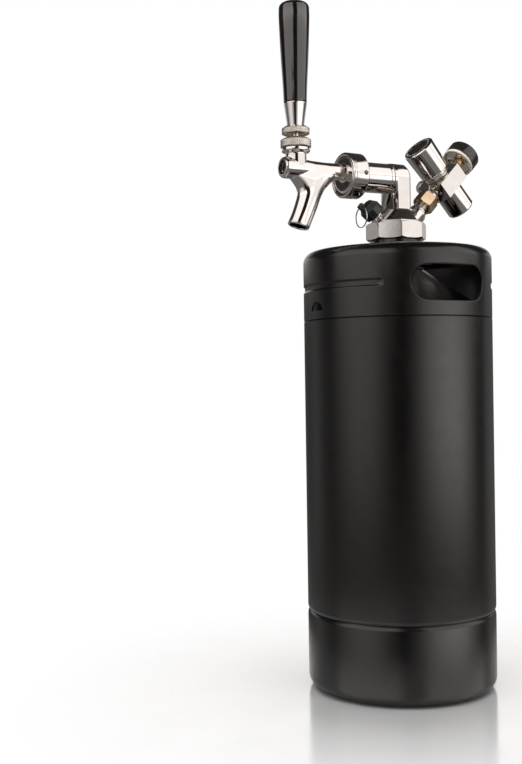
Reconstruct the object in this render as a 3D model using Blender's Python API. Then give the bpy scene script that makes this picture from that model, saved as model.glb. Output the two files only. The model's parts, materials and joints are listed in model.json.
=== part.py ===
"""A five litre beer keg with a screw-on tap head, a relief valve and a small gas regulator.

Lengths are in millimetres and are scaled to Blender's metres as each mesh is made. +Z is up, the tap
points along -Y and the two hand holes face +X and -X. The origin is on the floor, at the centre of the
whole object's bounding box, so the keg's axis stands KEG_Y behind it.
"""

import math

import bmesh
import bpy
from mathutils import Matrix, Vector

MM = 0.001

# The keg
KEG_Y = 8.3
KEG_RADIUS = 75.0
RIM_TOP = 347.0
COLLAR_SEAM = 291.55
SKIRT_SEAM = 61.15
SEAM_GAP = 0.3
SHEET = 1.6
VESSEL_WALL = 1.2
RIM_FILLET = 9.0
FOOT_FILLET = 9.5
HAND_HOLE_WIDTH = 67.5
HAND_HOLE_HEIGHT = 28.5
HAND_HOLE_Z = 316.5
BEAD_Z = 317.0
BEAD_HEIGHT = 6.0
BEAD_DEPTH = 0.8
BEAD_HALF_ANGLE = 45.0
NECK_BORE = 14.9
NECK_TOP = 361.5

# The head
NUT_BOTTOM = 356.0
NUT_TOP = 369.3
NUT_CORNER_RADIUS = 24.5
HEAD_BASE = 369.6
HEAD_TOP = 379.8
POST_THICKNESS = 14.1
POST_FRONT = 6.5
POST_HALF_WIDTH = 12.4

# The tap. S is the distance in front of the keg's axis.
TAP_Z = 405.0
SHANK_RADIUS = 11.9
COUPLING_BACK_S = 34.5
COUPLING_FRONT_S = 49.6
COUPLING_RADIUS = 17.8
BARREL_Z = 407.4
LEVER_S = 91.0
LEVER_PIVOT_Z = 420.0
BULB_FRONT_S = 103.3
HANDLE_TOP = 534.7

# The relief valve, on the front of the head
RELIEF_S = 15.5
RELIEF_Z = 372.2
RELIEF_ELEVATION = 40.0
RING_S = 32.6
RING_Z = 381.3
RING_RADIUS = 8.2
RING_WIRE = 0.6

# The regulator, on the back of the head. A is the distance along the nipple, K along the knob.
GAS_TURN = 6.0
GAS_R = 22.0
GAS_Z = 379.0
BODY_A = 40.0
BODY_HALF_WIDTH = 14.0
BODY_TOP_K = 6.5
BODY_BOTTOM_K = -8.0
KNOB_RADIUS = 13.2
GAUGE_RADIUS = 13.6
GAUGE_BACK_A = 64.0
GAUGE_FRONT_A = 77.0

CLEAR = 0.3
COARSE, MEDIUM, FINE, VERY_FINE = 10, 16, 24, 40
OVERSHOOT = 5.0

X, Y, Z = Vector((1, 0, 0)), Vector((0, 1, 0)), Vector((0, 0, 1))
KEG_AXIS = Vector((0, KEG_Y, 0))


# ---------------------------------------------------------------- frames


def frame(origin, z_axis, x_axis):
    """The matrix of a frame at ORIGIN (mm) whose Z is Z_AXIS and whose X is as near X_AXIS as it can be."""
    z_axis = z_axis.normalized()
    x_axis = (x_axis - z_axis * x_axis.dot(z_axis)).normalized()
    y_axis = z_axis.cross(x_axis)
    rotation = Matrix((x_axis, y_axis, z_axis)).transposed()
    return Matrix.Translation(origin * MM) @ rotation.to_4x4()


def ahead(s, z):
    """The point S in front of the keg's axis, at height Z."""
    return KEG_AXIS + Vector((0, -s, z))


UPRIGHT = frame(KEG_AXIS, Z, X)
TAP_AXIS = frame(ahead(0, TAP_Z), -Y, X)
BARREL_AXIS = frame(ahead(0, BARREL_Z), -Y, X)
LEVER_AXIS = frame(ahead(LEVER_S, 0), Z, X)
LEVER_PIVOT = frame(ahead(LEVER_S, LEVER_PIVOT_Z), Z, X)

RELIEF_DIRECTION = -Y * math.cos(math.radians(RELIEF_ELEVATION)) + Z * math.sin(math.radians(RELIEF_ELEVATION))
RELIEF_AXIS = frame(ahead(RELIEF_S, RELIEF_Z), RELIEF_DIRECTION, X)
RING_PIVOT = frame(ahead(RING_S, RING_Z), X, Y)

GAS_OUT = Matrix.Rotation(math.radians(GAS_TURN), 3, "Z") @ Y
GAS_SIDE = GAS_OUT.cross(Z)
NIPPLE_DIRECTION = (GAS_OUT + Z).normalized()
KNOB_DIRECTION = (Z - GAS_OUT).normalized()


def gas_point(a, k=0.0, side=0.0):
    """A point of the regulator: A along the nipple, K along the knob, SIDE towards +X."""
    base = KEG_AXIS + GAS_OUT * GAS_R + Z * GAS_Z
    return base + NIPPLE_DIRECTION * a + KNOB_DIRECTION * k + GAS_SIDE * side


NIPPLE_AXIS = frame(gas_point(0), NIPPLE_DIRECTION, GAS_SIDE)
KNOB_AXIS = frame(gas_point(BODY_A), KNOB_DIRECTION, NIPPLE_DIRECTION)
SIDE_VALVE_AXIS = frame(gas_point(BODY_A - 2.0), -GAS_SIDE, NIPPLE_DIRECTION)


# ---------------------------------------------------------------- materials


def finish(name, colour, roughness, metallic=0.0):
    made = bpy.data.materials.new(name)
    made.use_nodes = True
    shader = made.node_tree.nodes["Principled BSDF"]
    shader.inputs["Base Color"].default_value = (*colour, 1.0)
    shader.inputs["Roughness"].default_value = roughness
    shader.inputs["Metallic"].default_value = metallic
    return made


FINISHES = {
    "black_coat": ((0.018, 0.017, 0.017), 0.42, 0.0),
    "chrome": ((0.85, 0.83, 0.80), 0.08, 1.0),
    "nickel": ((0.72, 0.67, 0.60), 0.25, 1.0),
    "brass": ((0.78, 0.57, 0.33), 0.25, 1.0),
    "steel": ((0.62, 0.62, 0.62), 0.30, 1.0),
    "black_gloss": ((0.012, 0.011, 0.011), 0.12, 0.0),
    "black_plastic": ((0.025, 0.024, 0.024), 0.45, 0.0),
    "black_rubber": ((0.02, 0.02, 0.02), 0.75, 0.0),
    "cream_plastic": ((0.82, 0.78, 0.68), 0.40, 0.0),
    "white_paint": ((0.85, 0.85, 0.82), 0.50, 0.0),
    "clear_glass": ((0.95, 0.97, 0.97), 0.02, 0.0),
}


def own_material(node, look):
    return finish(node + "_" + look, *FINISHES[look])


# ---------------------------------------------------------------- shapes


def arc(centre_r, centre_h, radius, start, end, steps):
    """Points of an arc in an outline, from START to END degrees, both ends included."""
    points = []
    for i in range(steps + 1):
        angle = math.radians(start + (end - start) * i / steps)
        points.append((centre_r + radius * math.cos(angle), centre_h + radius * math.sin(angle)))
    return points


def add_object(name, mesh, where, look=None):
    """Puts a bmesh in the scene as one object: a piece with its own material, or a hidden cutter."""
    bmesh.ops.recalc_face_normals(mesh, faces=mesh.faces)
    data = bpy.data.meshes.new(name)
    mesh.to_mesh(data)
    mesh.free()
    made = bpy.data.objects.new(name, data)
    bpy.context.scene.collection.objects.link(made)
    made.matrix_world = where
    if look is None:
        made.hide_render = True
        made.display_type = "WIRE"
        return made
    data.materials.append(own_material(name, look))
    data.shade_smooth()
    data.set_sharp_from_angle(angle=math.radians(30))
    return made


def turned(name, where, outline, look=None, sides=MEDIUM, start=0.0, sweep=360.0):
    """Spins an outline of (radius, height) points about the frame's Z. An outline off the axis is a ring."""
    mesh = bmesh.new()
    first = Matrix.Rotation(math.radians(start), 3, "Z")
    corners = [mesh.verts.new(first @ Vector((r, 0, h)) * MM) for r, h in outline]
    whole_turn = sweep == 360.0
    on_axis = outline[0][0] == 0.0 and outline[-1][0] == 0.0
    if whole_turn:
        geometry = corners + [mesh.edges.new(pair) for pair in zip(corners, corners[1:])]
        if not on_axis:
            geometry.append(mesh.edges.new((corners[-1], corners[0])))
    else:
        geometry = [mesh.faces.new(corners)]
    bmesh.ops.spin(
        mesh, geom=geometry, cent=(0, 0, 0), axis=(0, 0, 1),
        angle=math.radians(sweep), steps=sides, use_merge=whole_turn,
    )
    bmesh.ops.remove_doubles(mesh, verts=mesh.verts, dist=1e-6)
    return add_object(name, mesh, where, look)


def rod(name, where, radius, low, high, look=None, sides=MEDIUM, start=0.0):
    return turned(name, where, [(0.0, low), (radius, low), (radius, high), (0.0, high)], look, sides, start)


def ring(name, where, inner, outer, low, high, look=None, sides=MEDIUM):
    return turned(name, where, [(inner, low), (outer, low), (outer, high), (inner, high)], look, sides)


def prism(name, where, outline, low, high, look=None):
    """Extrudes a flat outline of (x, y) points along the frame's Z."""
    mesh = bmesh.new()
    base = mesh.faces.new([mesh.verts.new(Vector((x, y, low)) * MM) for x, y in outline])
    raised = bmesh.ops.extrude_face_region(mesh, geom=[base])
    moved = [item for item in raised["geom"] if isinstance(item, bmesh.types.BMVert)]
    bmesh.ops.translate(mesh, verts=moved, vec=(0, 0, (high - low) * MM))
    return add_object(name, mesh, where, look)


def box(name, where, low, high, look=None):
    outline = [(low[0], low[1]), (high[0], low[1]), (high[0], high[1]), (low[0], high[1])]
    return prism(name, where, outline, low[2], high[2], look)


def lofted(name, where, loops, look=None, closed=False):
    """Skins rings of points (mm, in the frame), which all hold the same number of points."""
    mesh = bmesh.new()
    rings = [[mesh.verts.new(point * MM) for point in loop] for loop in loops]
    sides = len(rings[0])
    pairs = list(zip(rings, rings[1:]))
    if closed:
        pairs.append((rings[-1], rings[0]))
    else:
        mesh.faces.new(rings[0])
        mesh.faces.new(rings[-1])
    for here, there in pairs:
        for j in range(sides):
            k = (j + 1) % sides
            mesh.faces.new((here[j], here[k], there[k], there[j]))
    return add_object(name, mesh, where, look)


def swept(name, where, path, radius, look=None, sides=COARSE, closed=False):
    """A round bar along PATH (mm, in the frame)."""
    count = len(path)
    loops = []
    side = None
    for i, point in enumerate(path):
        before = path[(i - 1) % count] if closed or i else point
        after = path[(i + 1) % count] if closed or i < count - 1 else point
        along = (after - before).normalized()
        if side is None:
            side = along.orthogonal()
        side = (side - along * side.dot(along)).normalized()
        up = along.cross(side)
        loop = []
        for j in range(sides):
            angle = 2 * math.pi * j / sides
            loop.append(point + (side * math.cos(angle) + up * math.sin(angle)) * radius)
        loops.append(loop)
    return lofted(name, where, loops, look, closed)


def coil_spring(name, where, radius, wire, low, high, turns, look):
    """A round-wire spring from height LOW to HIGH, wire included."""
    steps = 10 * turns
    path = []
    for i in range(steps + 1):
        angle = 2 * math.pi * turns * i / steps
        height = low + wire + (high - low - 2 * wire) * i / steps
        path.append(Vector((radius * math.cos(angle), radius * math.sin(angle), height)))
    return swept(name, where, path, wire, look, sides=5)


def combine(target, operation, *others):
    for other in others:
        step = target.modifiers.new(operation.lower() + "_" + other.name, "BOOLEAN")
        step.operation = operation
        step.solver = "EXACT"
        step.object = other
    return target


def cut(target, *others):
    return combine(target, "DIFFERENCE", *others)


def join(target, *others):
    return combine(target, "UNION", *others)


# ---------------------------------------------------------------- keg


def vessel_outline():
    """The shell in section: the inside from the dish up to the neck, then the outside back down."""
    knuckle, shoulder_z, shoulder_r = 8.0, COLLAR_SEAM + 1.1, 64.9
    foot_knuckle, foot_r, foot_z = 10.0, 61.6, 58.0
    dish = (foot_r + foot_knuckle * math.cos(math.radians(60))) / math.sin(math.radians(30))
    dish_centre = foot_z - foot_knuckle * math.sin(math.radians(60)) + dish * math.cos(math.radians(30))
    seam, groove = COLLAR_SEAM - SEAM_GAP / 2, SKIRT_SEAM + SEAM_GAP / 2
    wall = VESSEL_WALL
    outside = [(20.4, 332.3)]
    outside += arc(shoulder_r, shoulder_z, knuckle, 56, 0, 3)
    outside += [(shoulder_r + knuckle, seam), (KEG_RADIUS, seam)]
    outside += [(KEG_RADIUS, groove + 2.7), (KEG_RADIUS - 1.5, groove), (foot_r + foot_knuckle, groove)]
    outside += arc(foot_r, foot_z, foot_knuckle, 0, -60, 2)
    outside += arc(0, dish_centre, dish, -68, -84, 2) + [(0.0, dish_centre - dish)]
    inside = [(0.0, dish_centre - dish + wall)] + arc(0, dish_centre, dish - wall, -84, -68, 2)
    inside += arc(foot_r, foot_z, foot_knuckle - wall, -60, 0, 2)
    inside += [(foot_r + foot_knuckle - wall, groove + 1.2), (KEG_RADIUS - wall, groove + 3.9)]
    inside += [(KEG_RADIUS - wall, seam - 3.3), (shoulder_r + knuckle - wall, seam - 1.2)]
    inside += arc(shoulder_r, shoulder_z, knuckle - wall, 0, 56, 2)
    inside += [(20.4, 332.3 - wall * 1.2)]
    return inside + outside


def keg_vessel():
    return turned("keg_vessel", UPRIGHT, vessel_outline(), "black_coat", VERY_FINE)


def top_collar():
    seam = COLLAR_SEAM + SEAM_GAP / 2
    outer, inner = KEG_RADIUS, KEG_RADIUS - SHEET
    fillet_r, fillet_z = KEG_RADIUS - RIM_FILLET, RIM_TOP - RIM_FILLET
    curl_r, curl_z, curl = fillet_r - 2.5, RIM_TOP - 4.0, 4.0
    outline = [(outer, seam)]
    outline += arc(fillet_r, fillet_z, RIM_FILLET, 0, 90, 4)
    outline += arc(curl_r, curl_z, curl, 90, 180, 2)
    outline += [(curl_r - curl, curl_z - 1.5), (curl_r - curl + SHEET, curl_z - 1.5)]
    outline += arc(curl_r, curl_z, curl - SHEET, 180, 90, 2)
    outline += arc(fillet_r, fillet_z, RIM_FILLET - SHEET, 90, 0, 3)
    outline += [(inner, seam)]
    collar = turned("top_collar", UPRIGHT, outline, "black_coat", VERY_FINE)

    half, end = HAND_HOLE_WIDTH / 2, HAND_HOLE_HEIGHT / 2
    slot = arc(half - end, 0, end, -90, 90, 8) + arc(end - half, 0, end, 90, 270, 8)
    across = frame(KEG_AXIS + Z * HAND_HOLE_Z, X, Y)
    reach = KEG_RADIUS + OVERSHOOT
    hand_holes = prism("cut_hand_holes", across, slot, -reach, reach)

    drain = [(-8.0, 0.0), (8.0, 0.0)] + arc(0, -1.5, 8.6, 10, 170, 6)
    drain_frame = frame(ahead(KEG_RADIUS - OVERSHOOT, 298.5), -Y, X)
    drain_hole = prism("cut_drain_hole", drain_frame, drain, 0, 2 * OVERSHOOT)
    cut(collar, hand_holes, drain_hole)

    low, high = BEAD_Z - BEAD_HEIGHT / 2, BEAD_Z + BEAD_HEIGHT / 2
    bottom, lip = KEG_RADIUS - BEAD_DEPTH, KEG_RADIUS + 1.0
    section = [(bottom, low + 1.4), (lip, low - 0.6), (lip, high + 0.6), (bottom, high - 1.4)]
    for side, middle in (("front", -90.0), ("back", 90.0)):
        start = middle - BEAD_HALF_ANGLE
        bead = turned("cut_bead_" + side, UPRIGHT, section, None, 16, start, 2 * BEAD_HALF_ANGLE)
        cut(collar, bead)
    return collar


def bottom_skirt():
    seam = SKIRT_SEAM - SEAM_GAP / 2
    outer, inner = KEG_RADIUS, KEG_RADIUS - SHEET
    foot_r, curl_r, curl = KEG_RADIUS - FOOT_FILLET, KEG_RADIUS - FOOT_FILLET - 3.5, 4.0
    outline = [(outer - 1.5, seam), (outer, seam - 2.7)]
    outline += arc(foot_r, FOOT_FILLET, FOOT_FILLET, 0, -90, 4)
    outline += arc(curl_r, curl, curl, -90, -180, 2)
    outline += [(curl_r - curl, curl + 2.0), (curl_r - curl + SHEET, curl + 2.0)]
    outline += arc(curl_r, curl, curl - SHEET, -180, -90, 2)
    outline += arc(foot_r, FOOT_FILLET, FOOT_FILLET - SHEET, -90, 0, 3)
    outline += [(inner, seam - 3.2), (outer - 2.9, seam - 0.9), (outer - 2.9, seam)]
    return turned("bottom_skirt", UPRIGHT, outline, "black_coat", VERY_FINE)


def neck_boss():
    outline = [
        (NECK_BORE, 329.5), (20.1, 329.5), (20.1, 345.0), (21.2, 345.6), (21.2, 352.4),
        (20.0, 353.0), (20.0, 355.7), (19.2, 355.7), (19.2, NECK_TOP), (NECK_BORE, NECK_TOP),
    ]
    return turned("neck_boss", UPRIGHT, outline, "black_coat", FINE)


# ---------------------------------------------------------------- head


def collar_nut():
    corner = NUT_CORNER_RADIUS
    outline = [
        (0.0, NUT_BOTTOM), (corner - 1.0, NUT_BOTTOM), (corner, NUT_BOTTOM + 1.0),
        (corner, NUT_TOP - 1.2), (corner - 1.4, NUT_TOP), (0.0, NUT_TOP),
    ]
    nut = turned("collar_nut", UPRIGHT, outline, "chrome", 8, start=22.5)
    thread = rod("cut_nut_thread", UPRIGHT, 19.8, NUT_BOTTOM - OVERSHOOT, 365.7, sides=FINE)
    throat = rod("cut_nut_throat", UPRIGHT, 15.3, 360.0, NUT_TOP + OVERSHOOT, sides=FINE)
    return cut(nut, thread, throat)


def head_parts():
    ring("head_gasket", UPRIGHT, 15.2, 18.4, NECK_TOP + CLEAR, 362.6, "black_rubber", FINE)
    flange_low, flange_high = 362.9, 365.3
    stem = [
        (4.4, 348.0), (14.2, 348.0), (14.2, 351.4), (12.4, 351.4), (12.4, 354.9), (14.2, 354.9),
        (14.2, flange_low), (18.6, flange_low), (18.6, flange_high), (14.9, flange_high),
        (14.9, 369.2), (8.5, 369.2), (8.5, 375.4), (4.4, 375.4),
    ]
    head_stem = turned("head_stem", UPRIGHT, stem, "chrome", FINE)
    gas_way = rod("cut_gas_way", frame(KEG_AXIS - X * 6.5, Z, X), 1.3, 340.0, 380.0, sides=COARSE)
    cut(head_stem, gas_way)

    middle = 13.6
    path = [
        Vector((middle * math.cos(angle), middle * math.sin(angle), 353.15))
        for angle in (2 * math.pi * i / FINE for i in range(FINE))
    ]
    swept("stem_o_ring", UPRIGHT, path, 0.9, "black_rubber", sides=6, closed=True)
    ring("dip_tube", UPRIGHT, 3.2, 4.1, 36.0, 375.0, "steel", MEDIUM)

    below = HEAD_BASE - 2.0
    outline = [(0.0, below), (20.2, below), (20.2, HEAD_BASE), (13.0, HEAD_TOP), (0.0, HEAD_TOP)]
    head = turned("head_body", UPRIGHT, outline, "chrome", 8, start=22.5)
    join(head, rod("add_relief_boss", RELIEF_AXIS, 4.6, -8.0, 3.8, sides=MEDIUM))
    join(head, rod("add_gas_boss", NIPPLE_AXIS, 8.0, -10.0, 0.8, sides=MEDIUM))
    cut(
        head,
        rod("cut_head_underside", UPRIGHT, 40.0, 350.0, HEAD_BASE, sides=MEDIUM, start=2.0),
        rod("cut_head_thread", UPRIGHT, 8.8, HEAD_BASE - OVERSHOOT, 376.6, sides=MEDIUM),
        rod("cut_head_bore", UPRIGHT, 3.6, 370.0, HEAD_TOP + OVERSHOOT, sides=MEDIUM),
        rod("cut_relief_bore", RELIEF_AXIS, 3.6, 0.8, 6.0, sides=MEDIUM),
        rod("cut_relief_pilot", frame(ahead(0, 373.2), -Y, X), 1.4, 7.0, 17.0, sides=COARSE),
        rod("cut_gas_bore", NIPPLE_AXIS, 4.3, -7.0, 4.0, sides=MEDIUM),
    )
    return head


def tap_post():
    low = HEAD_TOP + CLEAR - TAP_Z
    half = POST_HALF_WIDTH
    outline = [(half, low)] + arc(0, 0, half, 0, 180, 14) + [(-half, low)]
    where = frame(ahead(POST_FRONT, TAP_Z), Y, -X)
    post = prism("tap_post", where, outline, 0, POST_THICKNESS, "chrome")
    edge = post.modifiers.new("rounded_edges", "BEVEL")
    edge.width = 1.8 * MM
    edge.segments = 2
    edge.limit_method = "ANGLE"
    edge.angle_limit = math.radians(50)
    join(post, rod("add_post_flange", TAP_AXIS, half - 0.15, 0.0, POST_FRONT + 1.2, sides=FINE))
    cut(
        post,
        rod("cut_post_rise", UPRIGHT, 3.6, HEAD_TOP - OVERSHOOT, TAP_Z, sides=MEDIUM),
        rod("cut_post_outlet", TAP_AXIS, 5.2, -2.0, POST_FRONT + OVERSHOOT, sides=MEDIUM),
    )
    return post


# ---------------------------------------------------------------- tap


def shank_parts():
    start = POST_FRONT + 1.5
    flange = COUPLING_BACK_S + 2.4
    shank = [
        (5.2, start), (SHANK_RADIUS, start), (SHANK_RADIUS, flange), (14.3, flange),
        (14.3, flange + 2.5), (5.2, flange + 2.5),
    ]
    turned("shank", TAP_AXIS, shank, "chrome", FINE)
    ring("faucet_gasket", TAP_AXIS, 5.8, 14.0, flange + 2.8, flange + 4.0, "black_rubber", MEDIUM)

    back, front, radius = COUPLING_BACK_S, COUPLING_FRONT_S, COUPLING_RADIUS
    nut = [
        (12.3, back), (radius - 1.6, back), (radius, back + 1.6), (radius, front - 1.2),
        (radius - 1.2, front), (15.0, front), (15.0, back + 2.1), (12.3, back + 2.1),
    ]
    coupling = turned("coupling_nut", TAP_AXIS, nut, "chrome", FINE)
    reach = radius + OVERSHOOT
    for side, direction in (("across", X), ("upright", Z)):
        hole_axis = frame(ahead(back + 4.3, TAP_Z), direction, Y)
        cut(coupling, rod("cut_spanner_holes_" + side, hole_axis, 1.9, -reach, reach, sides=COARSE))


# The spout's sections, from the barrel down to the tip: the centre (S, Z), the half length along the
# tap, the half width across it, and how far the section's front is turned up, in degrees.
SPOUT_SECTIONS = [
    (75.2, 406.4, 24.0, 5.4, 0.0), (74.8, 402.7, 24.3, 6.2, 0.0), (77.4, 400.0, 19.6, 7.2, 0.0),
    (78.1, 396.2, 15.2, 7.8, 0.0), (79.0, 391.5, 11.3, 8.2, 3.0), (80.4, 386.0, 9.4, 8.4, 8.0),
    (82.7, 379.5, 8.9, 8.4, 15.0), (86.3, 371.0, 8.5, 8.3, 20.0), (89.7, 363.7, 8.6, 8.5, 18.0),
]
SPOUT_BORE = [
    (91.6, 358.0), (89.7, 363.7), (86.3, 371.0), (82.7, 379.5), (80.0, 386.0), (78.0, 391.5),
    (76.6, 397.0), (76.0, 402.6),
]


def spout_loop(section, sides):
    s, z, half_length, half_width, turn = section
    forward = -Y * math.cos(math.radians(turn)) + Z * math.sin(math.radians(turn))
    loop = []
    for i in range(sides):
        angle = 2 * math.pi * (i + 0.5) / sides
        loop.append(ahead(s, z) + forward * half_length * math.cos(angle) + X * half_width * math.sin(angle))
    return loop


def faucet_body():
    collar = [(0.0, 41.2), (14.6, 41.2), (14.6, 48.2), (13.8, 48.9), (0.0, 48.9)]
    body = turned("faucet_body", TAP_AXIS, collar, "chrome", FINE)
    front = BULB_FRONT_S
    barrel = [
        (0.0, 45.0), (6.9, 45.0), (6.4, 52.0), (6.2, 66.0), (6.7, 79.0), (7.6, 86.0), (8.2, 92.0),
        (8.3, front - 2.6), (8.0, front - 1.0), (7.1, front), (0.0, front),
    ]
    join(body, turned("add_barrel", BARREL_AXIS, barrel, sides=FINE, start=2.0))
    neck = [
        (0.0, BARREL_Z), (8.3, BARREL_Z), (8.3, 418.6), (9.0, 419.4), (11.0, 419.8), (11.0, 422.9),
        (9.0, 422.9), (9.0, 427.6), (0.0, 427.6),
    ]
    join(body, turned("add_faucet_neck", LEVER_AXIS, neck, sides=FINE, start=3.0))
    here = Matrix.Identity(4)
    join(body, lofted("add_spout", here, [spout_loop(section, FINE) for section in SPOUT_SECTIONS]))
    bore = [ahead(s, z) for s, z in SPOUT_BORE]
    cut(
        body,
        rod("cut_seat_chamber", BARREL_AXIS, 5.3, 41.2 - OVERSHOOT, 52.0, start=4.0),
        rod("cut_shaft_bore", BARREL_AXIS, 4.0, 50.0, 83.0, start=7.0),
        rod("cut_front_bore", BARREL_AXIS, 5.2, 80.6, front + OVERSHOOT, start=9.0),
        rod("cut_lever_bore", LEVER_AXIS, 5.4, BARREL_Z + 0.4, 425.0, start=5.0),
        rod("cut_washer_seat", LEVER_AXIS, 7.6, 423.1, 430.0, start=8.0),
        box("cut_lever_slot", LEVER_AXIS, (-2.6, 0.7, 409.1), (2.6, 6.5, 414.4)),
        swept("cut_spout_bore", here, bore, 5.4, sides=MEDIUM),
    )
    return body


def faucet_inner_parts():
    shaft = [
        (0.0, 47.9), (3.5, 47.9), (3.5, 49.5), (1.8, 49.5), (1.8, 51.9), (2.2, 52.3), (2.2, 86.4),
        (4.0, 86.4), (4.0, 95.4), (2.4, 95.4), (2.4, 98.4), (0.0, 98.4),
    ]
    made = turned("faucet_shaft", BARREL_AXIS, shaft, "steel", MEDIUM)
    slot = box("cut_shaft_slot", LEVER_AXIS, (-3.0, -3.05, BARREL_Z - 3.2), (3.0, 3.05, BARREL_Z + 6.0))
    cut(made, slot)
    ring("seat_washer", BARREL_AXIS, 2.1, 4.9, 49.8, 51.6, "black_rubber", MEDIUM)
    plug = [(0.0, 98.9), (2.8, 98.9), (2.8, 95.8), (4.9, 95.8), (4.9, 99.9), (0.0, 99.9)]
    turned("front_plug", BARREL_AXIS, plug, "steel", MEDIUM)

    washer = [(4.5, 423.4), (7.3, 423.4), (7.3, 427.5), (6.8, 427.5)]
    turned("ball_washer", LEVER_AXIS, washer, "black_plastic", MEDIUM)
    bonnet = [(9.3, 423.2), (11.8, 423.2), (11.8, 429.1), (8.2, 430.7), (6.9, 427.9), (9.3, 427.9)]
    turned("bonnet", LEVER_AXIS, bonnet, "nickel", FINE)


def lever_parts():
    """The lever's meshes are centred on its ball, so that the pivot is each object's origin."""
    up = LEVER_PIVOT_Z
    tip_z, tip, ball = BARREL_Z - up, 2.7, 5.0
    lever = arc(0, tip_z, tip, -90, 56, 5)
    lever += [(1.5, tip_z + 4.6), (1.9, tip_z + 5.6)]
    lever += arc(0, 0, ball, -67, 61, 7)
    lever += [(2.6, 8.0), (2.8, 13.0), (2.8, 452.0 - up), (0.0, 452.0 - up)]
    lever[0] = (0.0, tip_z - tip)
    turned("tap_lever", LEVER_PIVOT, lever, "steel", MEDIUM)

    lock_nut = [
        (3.2, 433.5), (10.3, 433.5), (10.7, 433.9), (10.7, 437.9), (8.3, 439.3), (3.2, 439.3),
    ]
    turned("lever_lock_nut", LEVER_PIVOT, [(r, z - up) for r, z in lock_nut], "nickel", FINE)
    ferrule = [
        (0.0, 469.0), (5.9, 469.0), (5.9, 457.3), (9.1, 457.3), (9.1, 456.6), (6.5, 439.6),
        (3.2, 439.6), (3.2, 454.0), (0.0, 454.0),
    ]
    turned("handle_ferrule", LEVER_PIVOT, [(r, z - up) for r, z in ferrule], "chrome", FINE)
    handle = [(0.0, HANDLE_TOP), (7.0, HANDLE_TOP - 0.5)] + arc(7.6, HANDLE_TOP - 5.5, 4.2, 70, 0, 3)
    handle += [(11.9, 522.0), (11.1, 500.0), (9.6, 474.0), (8.9, 457.6)]
    handle += [(6.2, 457.6), (6.2, 470.0), (0.0, 470.0)]
    turned("tap_handle", LEVER_PIVOT, [(r, z - up) for r, z in handle], "black_gloss", FINE)


# ---------------------------------------------------------------- relief valve


def relief_valve():
    body = [
        (1.9, 1.2), (3.3, 1.2), (3.3, 4.2), (5.8, 4.2), (5.8, 12.2), (1.8, 12.2), (1.8, 11.0),
        (4.3, 11.0), (4.3, 5.2), (1.9, 5.2),
    ]
    turned("relief_body", RELIEF_AXIS, body, "chrome", MEDIUM)
    rod("relief_seal", RELIEF_AXIS, 3.7, 5.5, 6.4, "black_rubber", COARSE)
    stem = [(0.0, 6.7), (3.7, 6.7), (3.7, 7.4), (1.4, 7.4), (1.4, 15.0), (0.0, 15.0)]
    turned("relief_stem", RELIEF_AXIS, stem, "steel", COARSE)
    coil_spring("relief_spring", RELIEF_AXIS, 3.0, 0.35, 7.7, 10.7, 2, "steel")

    cap = [(0.0, 15.3), (6.8, 15.3), (6.8, 5.7), (8.5, 5.7), (8.5, 12.8), (5.5, 17.0), (0.0, 17.0)]
    made = turned("relief_cap", RELIEF_AXIS, cap, "black_plastic", 10, start=18.0)
    # Local Y of the valve's frame points up its slope, so the ring's lug is on the lower side.
    lug = RELIEF_AXIS.inverted() @ RING_PIVOT
    lug_y, lug_d = lug.translation.y / MM, lug.translation.z / MM
    join(made, box("add_ring_lug", RELIEF_AXIS, (-1.6, lug_y - 2.2, 15.8), (1.6, lug_y + 2.2, lug_d + 2.2)))
    cut(made, rod("cut_ring_hole", RING_PIVOT, 1.15, -OVERSHOOT, OVERSHOOT, sides=COARSE))

    steps = 28
    path = [
        Vector((RING_RADIUS * math.sin(angle), 0, RING_RADIUS * (math.cos(angle) - 1)))
        for angle in (2 * math.pi * i / steps for i in range(steps))
    ]
    where = frame(ahead(RING_S, RING_Z), Z, X)
    swept("pull_ring", where, path, RING_WIRE, "steel", sides=6, closed=True)


# ---------------------------------------------------------------- regulator


def gas_connection():
    nipple = [(2.2, -6.0), (4.0, -6.0), (4.0, 1.1), (7.0, 1.1), (7.0, 3.0)]
    for i in range(3):
        foot = 3.0 + 2.6 * i
        nipple += [(5.2, foot + 0.3), (6.0, foot + 0.9), (6.0, foot + 1.9), (5.2, foot + 2.5)]
    nipple += [(5.2, 11.4), (2.2, 11.4)]
    turned("gas_nipple", NIPPLE_AXIS, nipple, "nickel", MEDIUM)

    ring("nipple_seal", NIPPLE_AXIS, 2.4, 5.0, 11.7, 12.5, "black_rubber", COARSE)
    tail = [
        (2.0, 12.8), (5.7, 12.8), (5.7, 14.6), (3.9, 14.6), (3.9, 19.4), (7.0, 19.4), (7.0, 21.8),
        (2.0, 21.8),
    ]
    turned("gas_tailpiece", NIPPLE_AXIS, tail, "nickel", MEDIUM)
    corner = 9.1
    shape = [
        (0.0, 8.4), (corner - 0.9, 8.4), (corner, 9.2), (corner, 18.2), (corner - 0.9, 19.0),
        (0.0, 19.0),
    ]
    nut = turned("gas_nut", NIPPLE_AXIS, shape, "brass", 6, start=0.0)
    cut(
        nut,
        rod("cut_gas_nut_thread", NIPPLE_AXIS, 6.3, 4.0, 14.9, sides=MEDIUM),
        rod("cut_gas_nut_throat", NIPPLE_AXIS, 4.2, 13.0, 24.0, sides=MEDIUM),
    )


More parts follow.
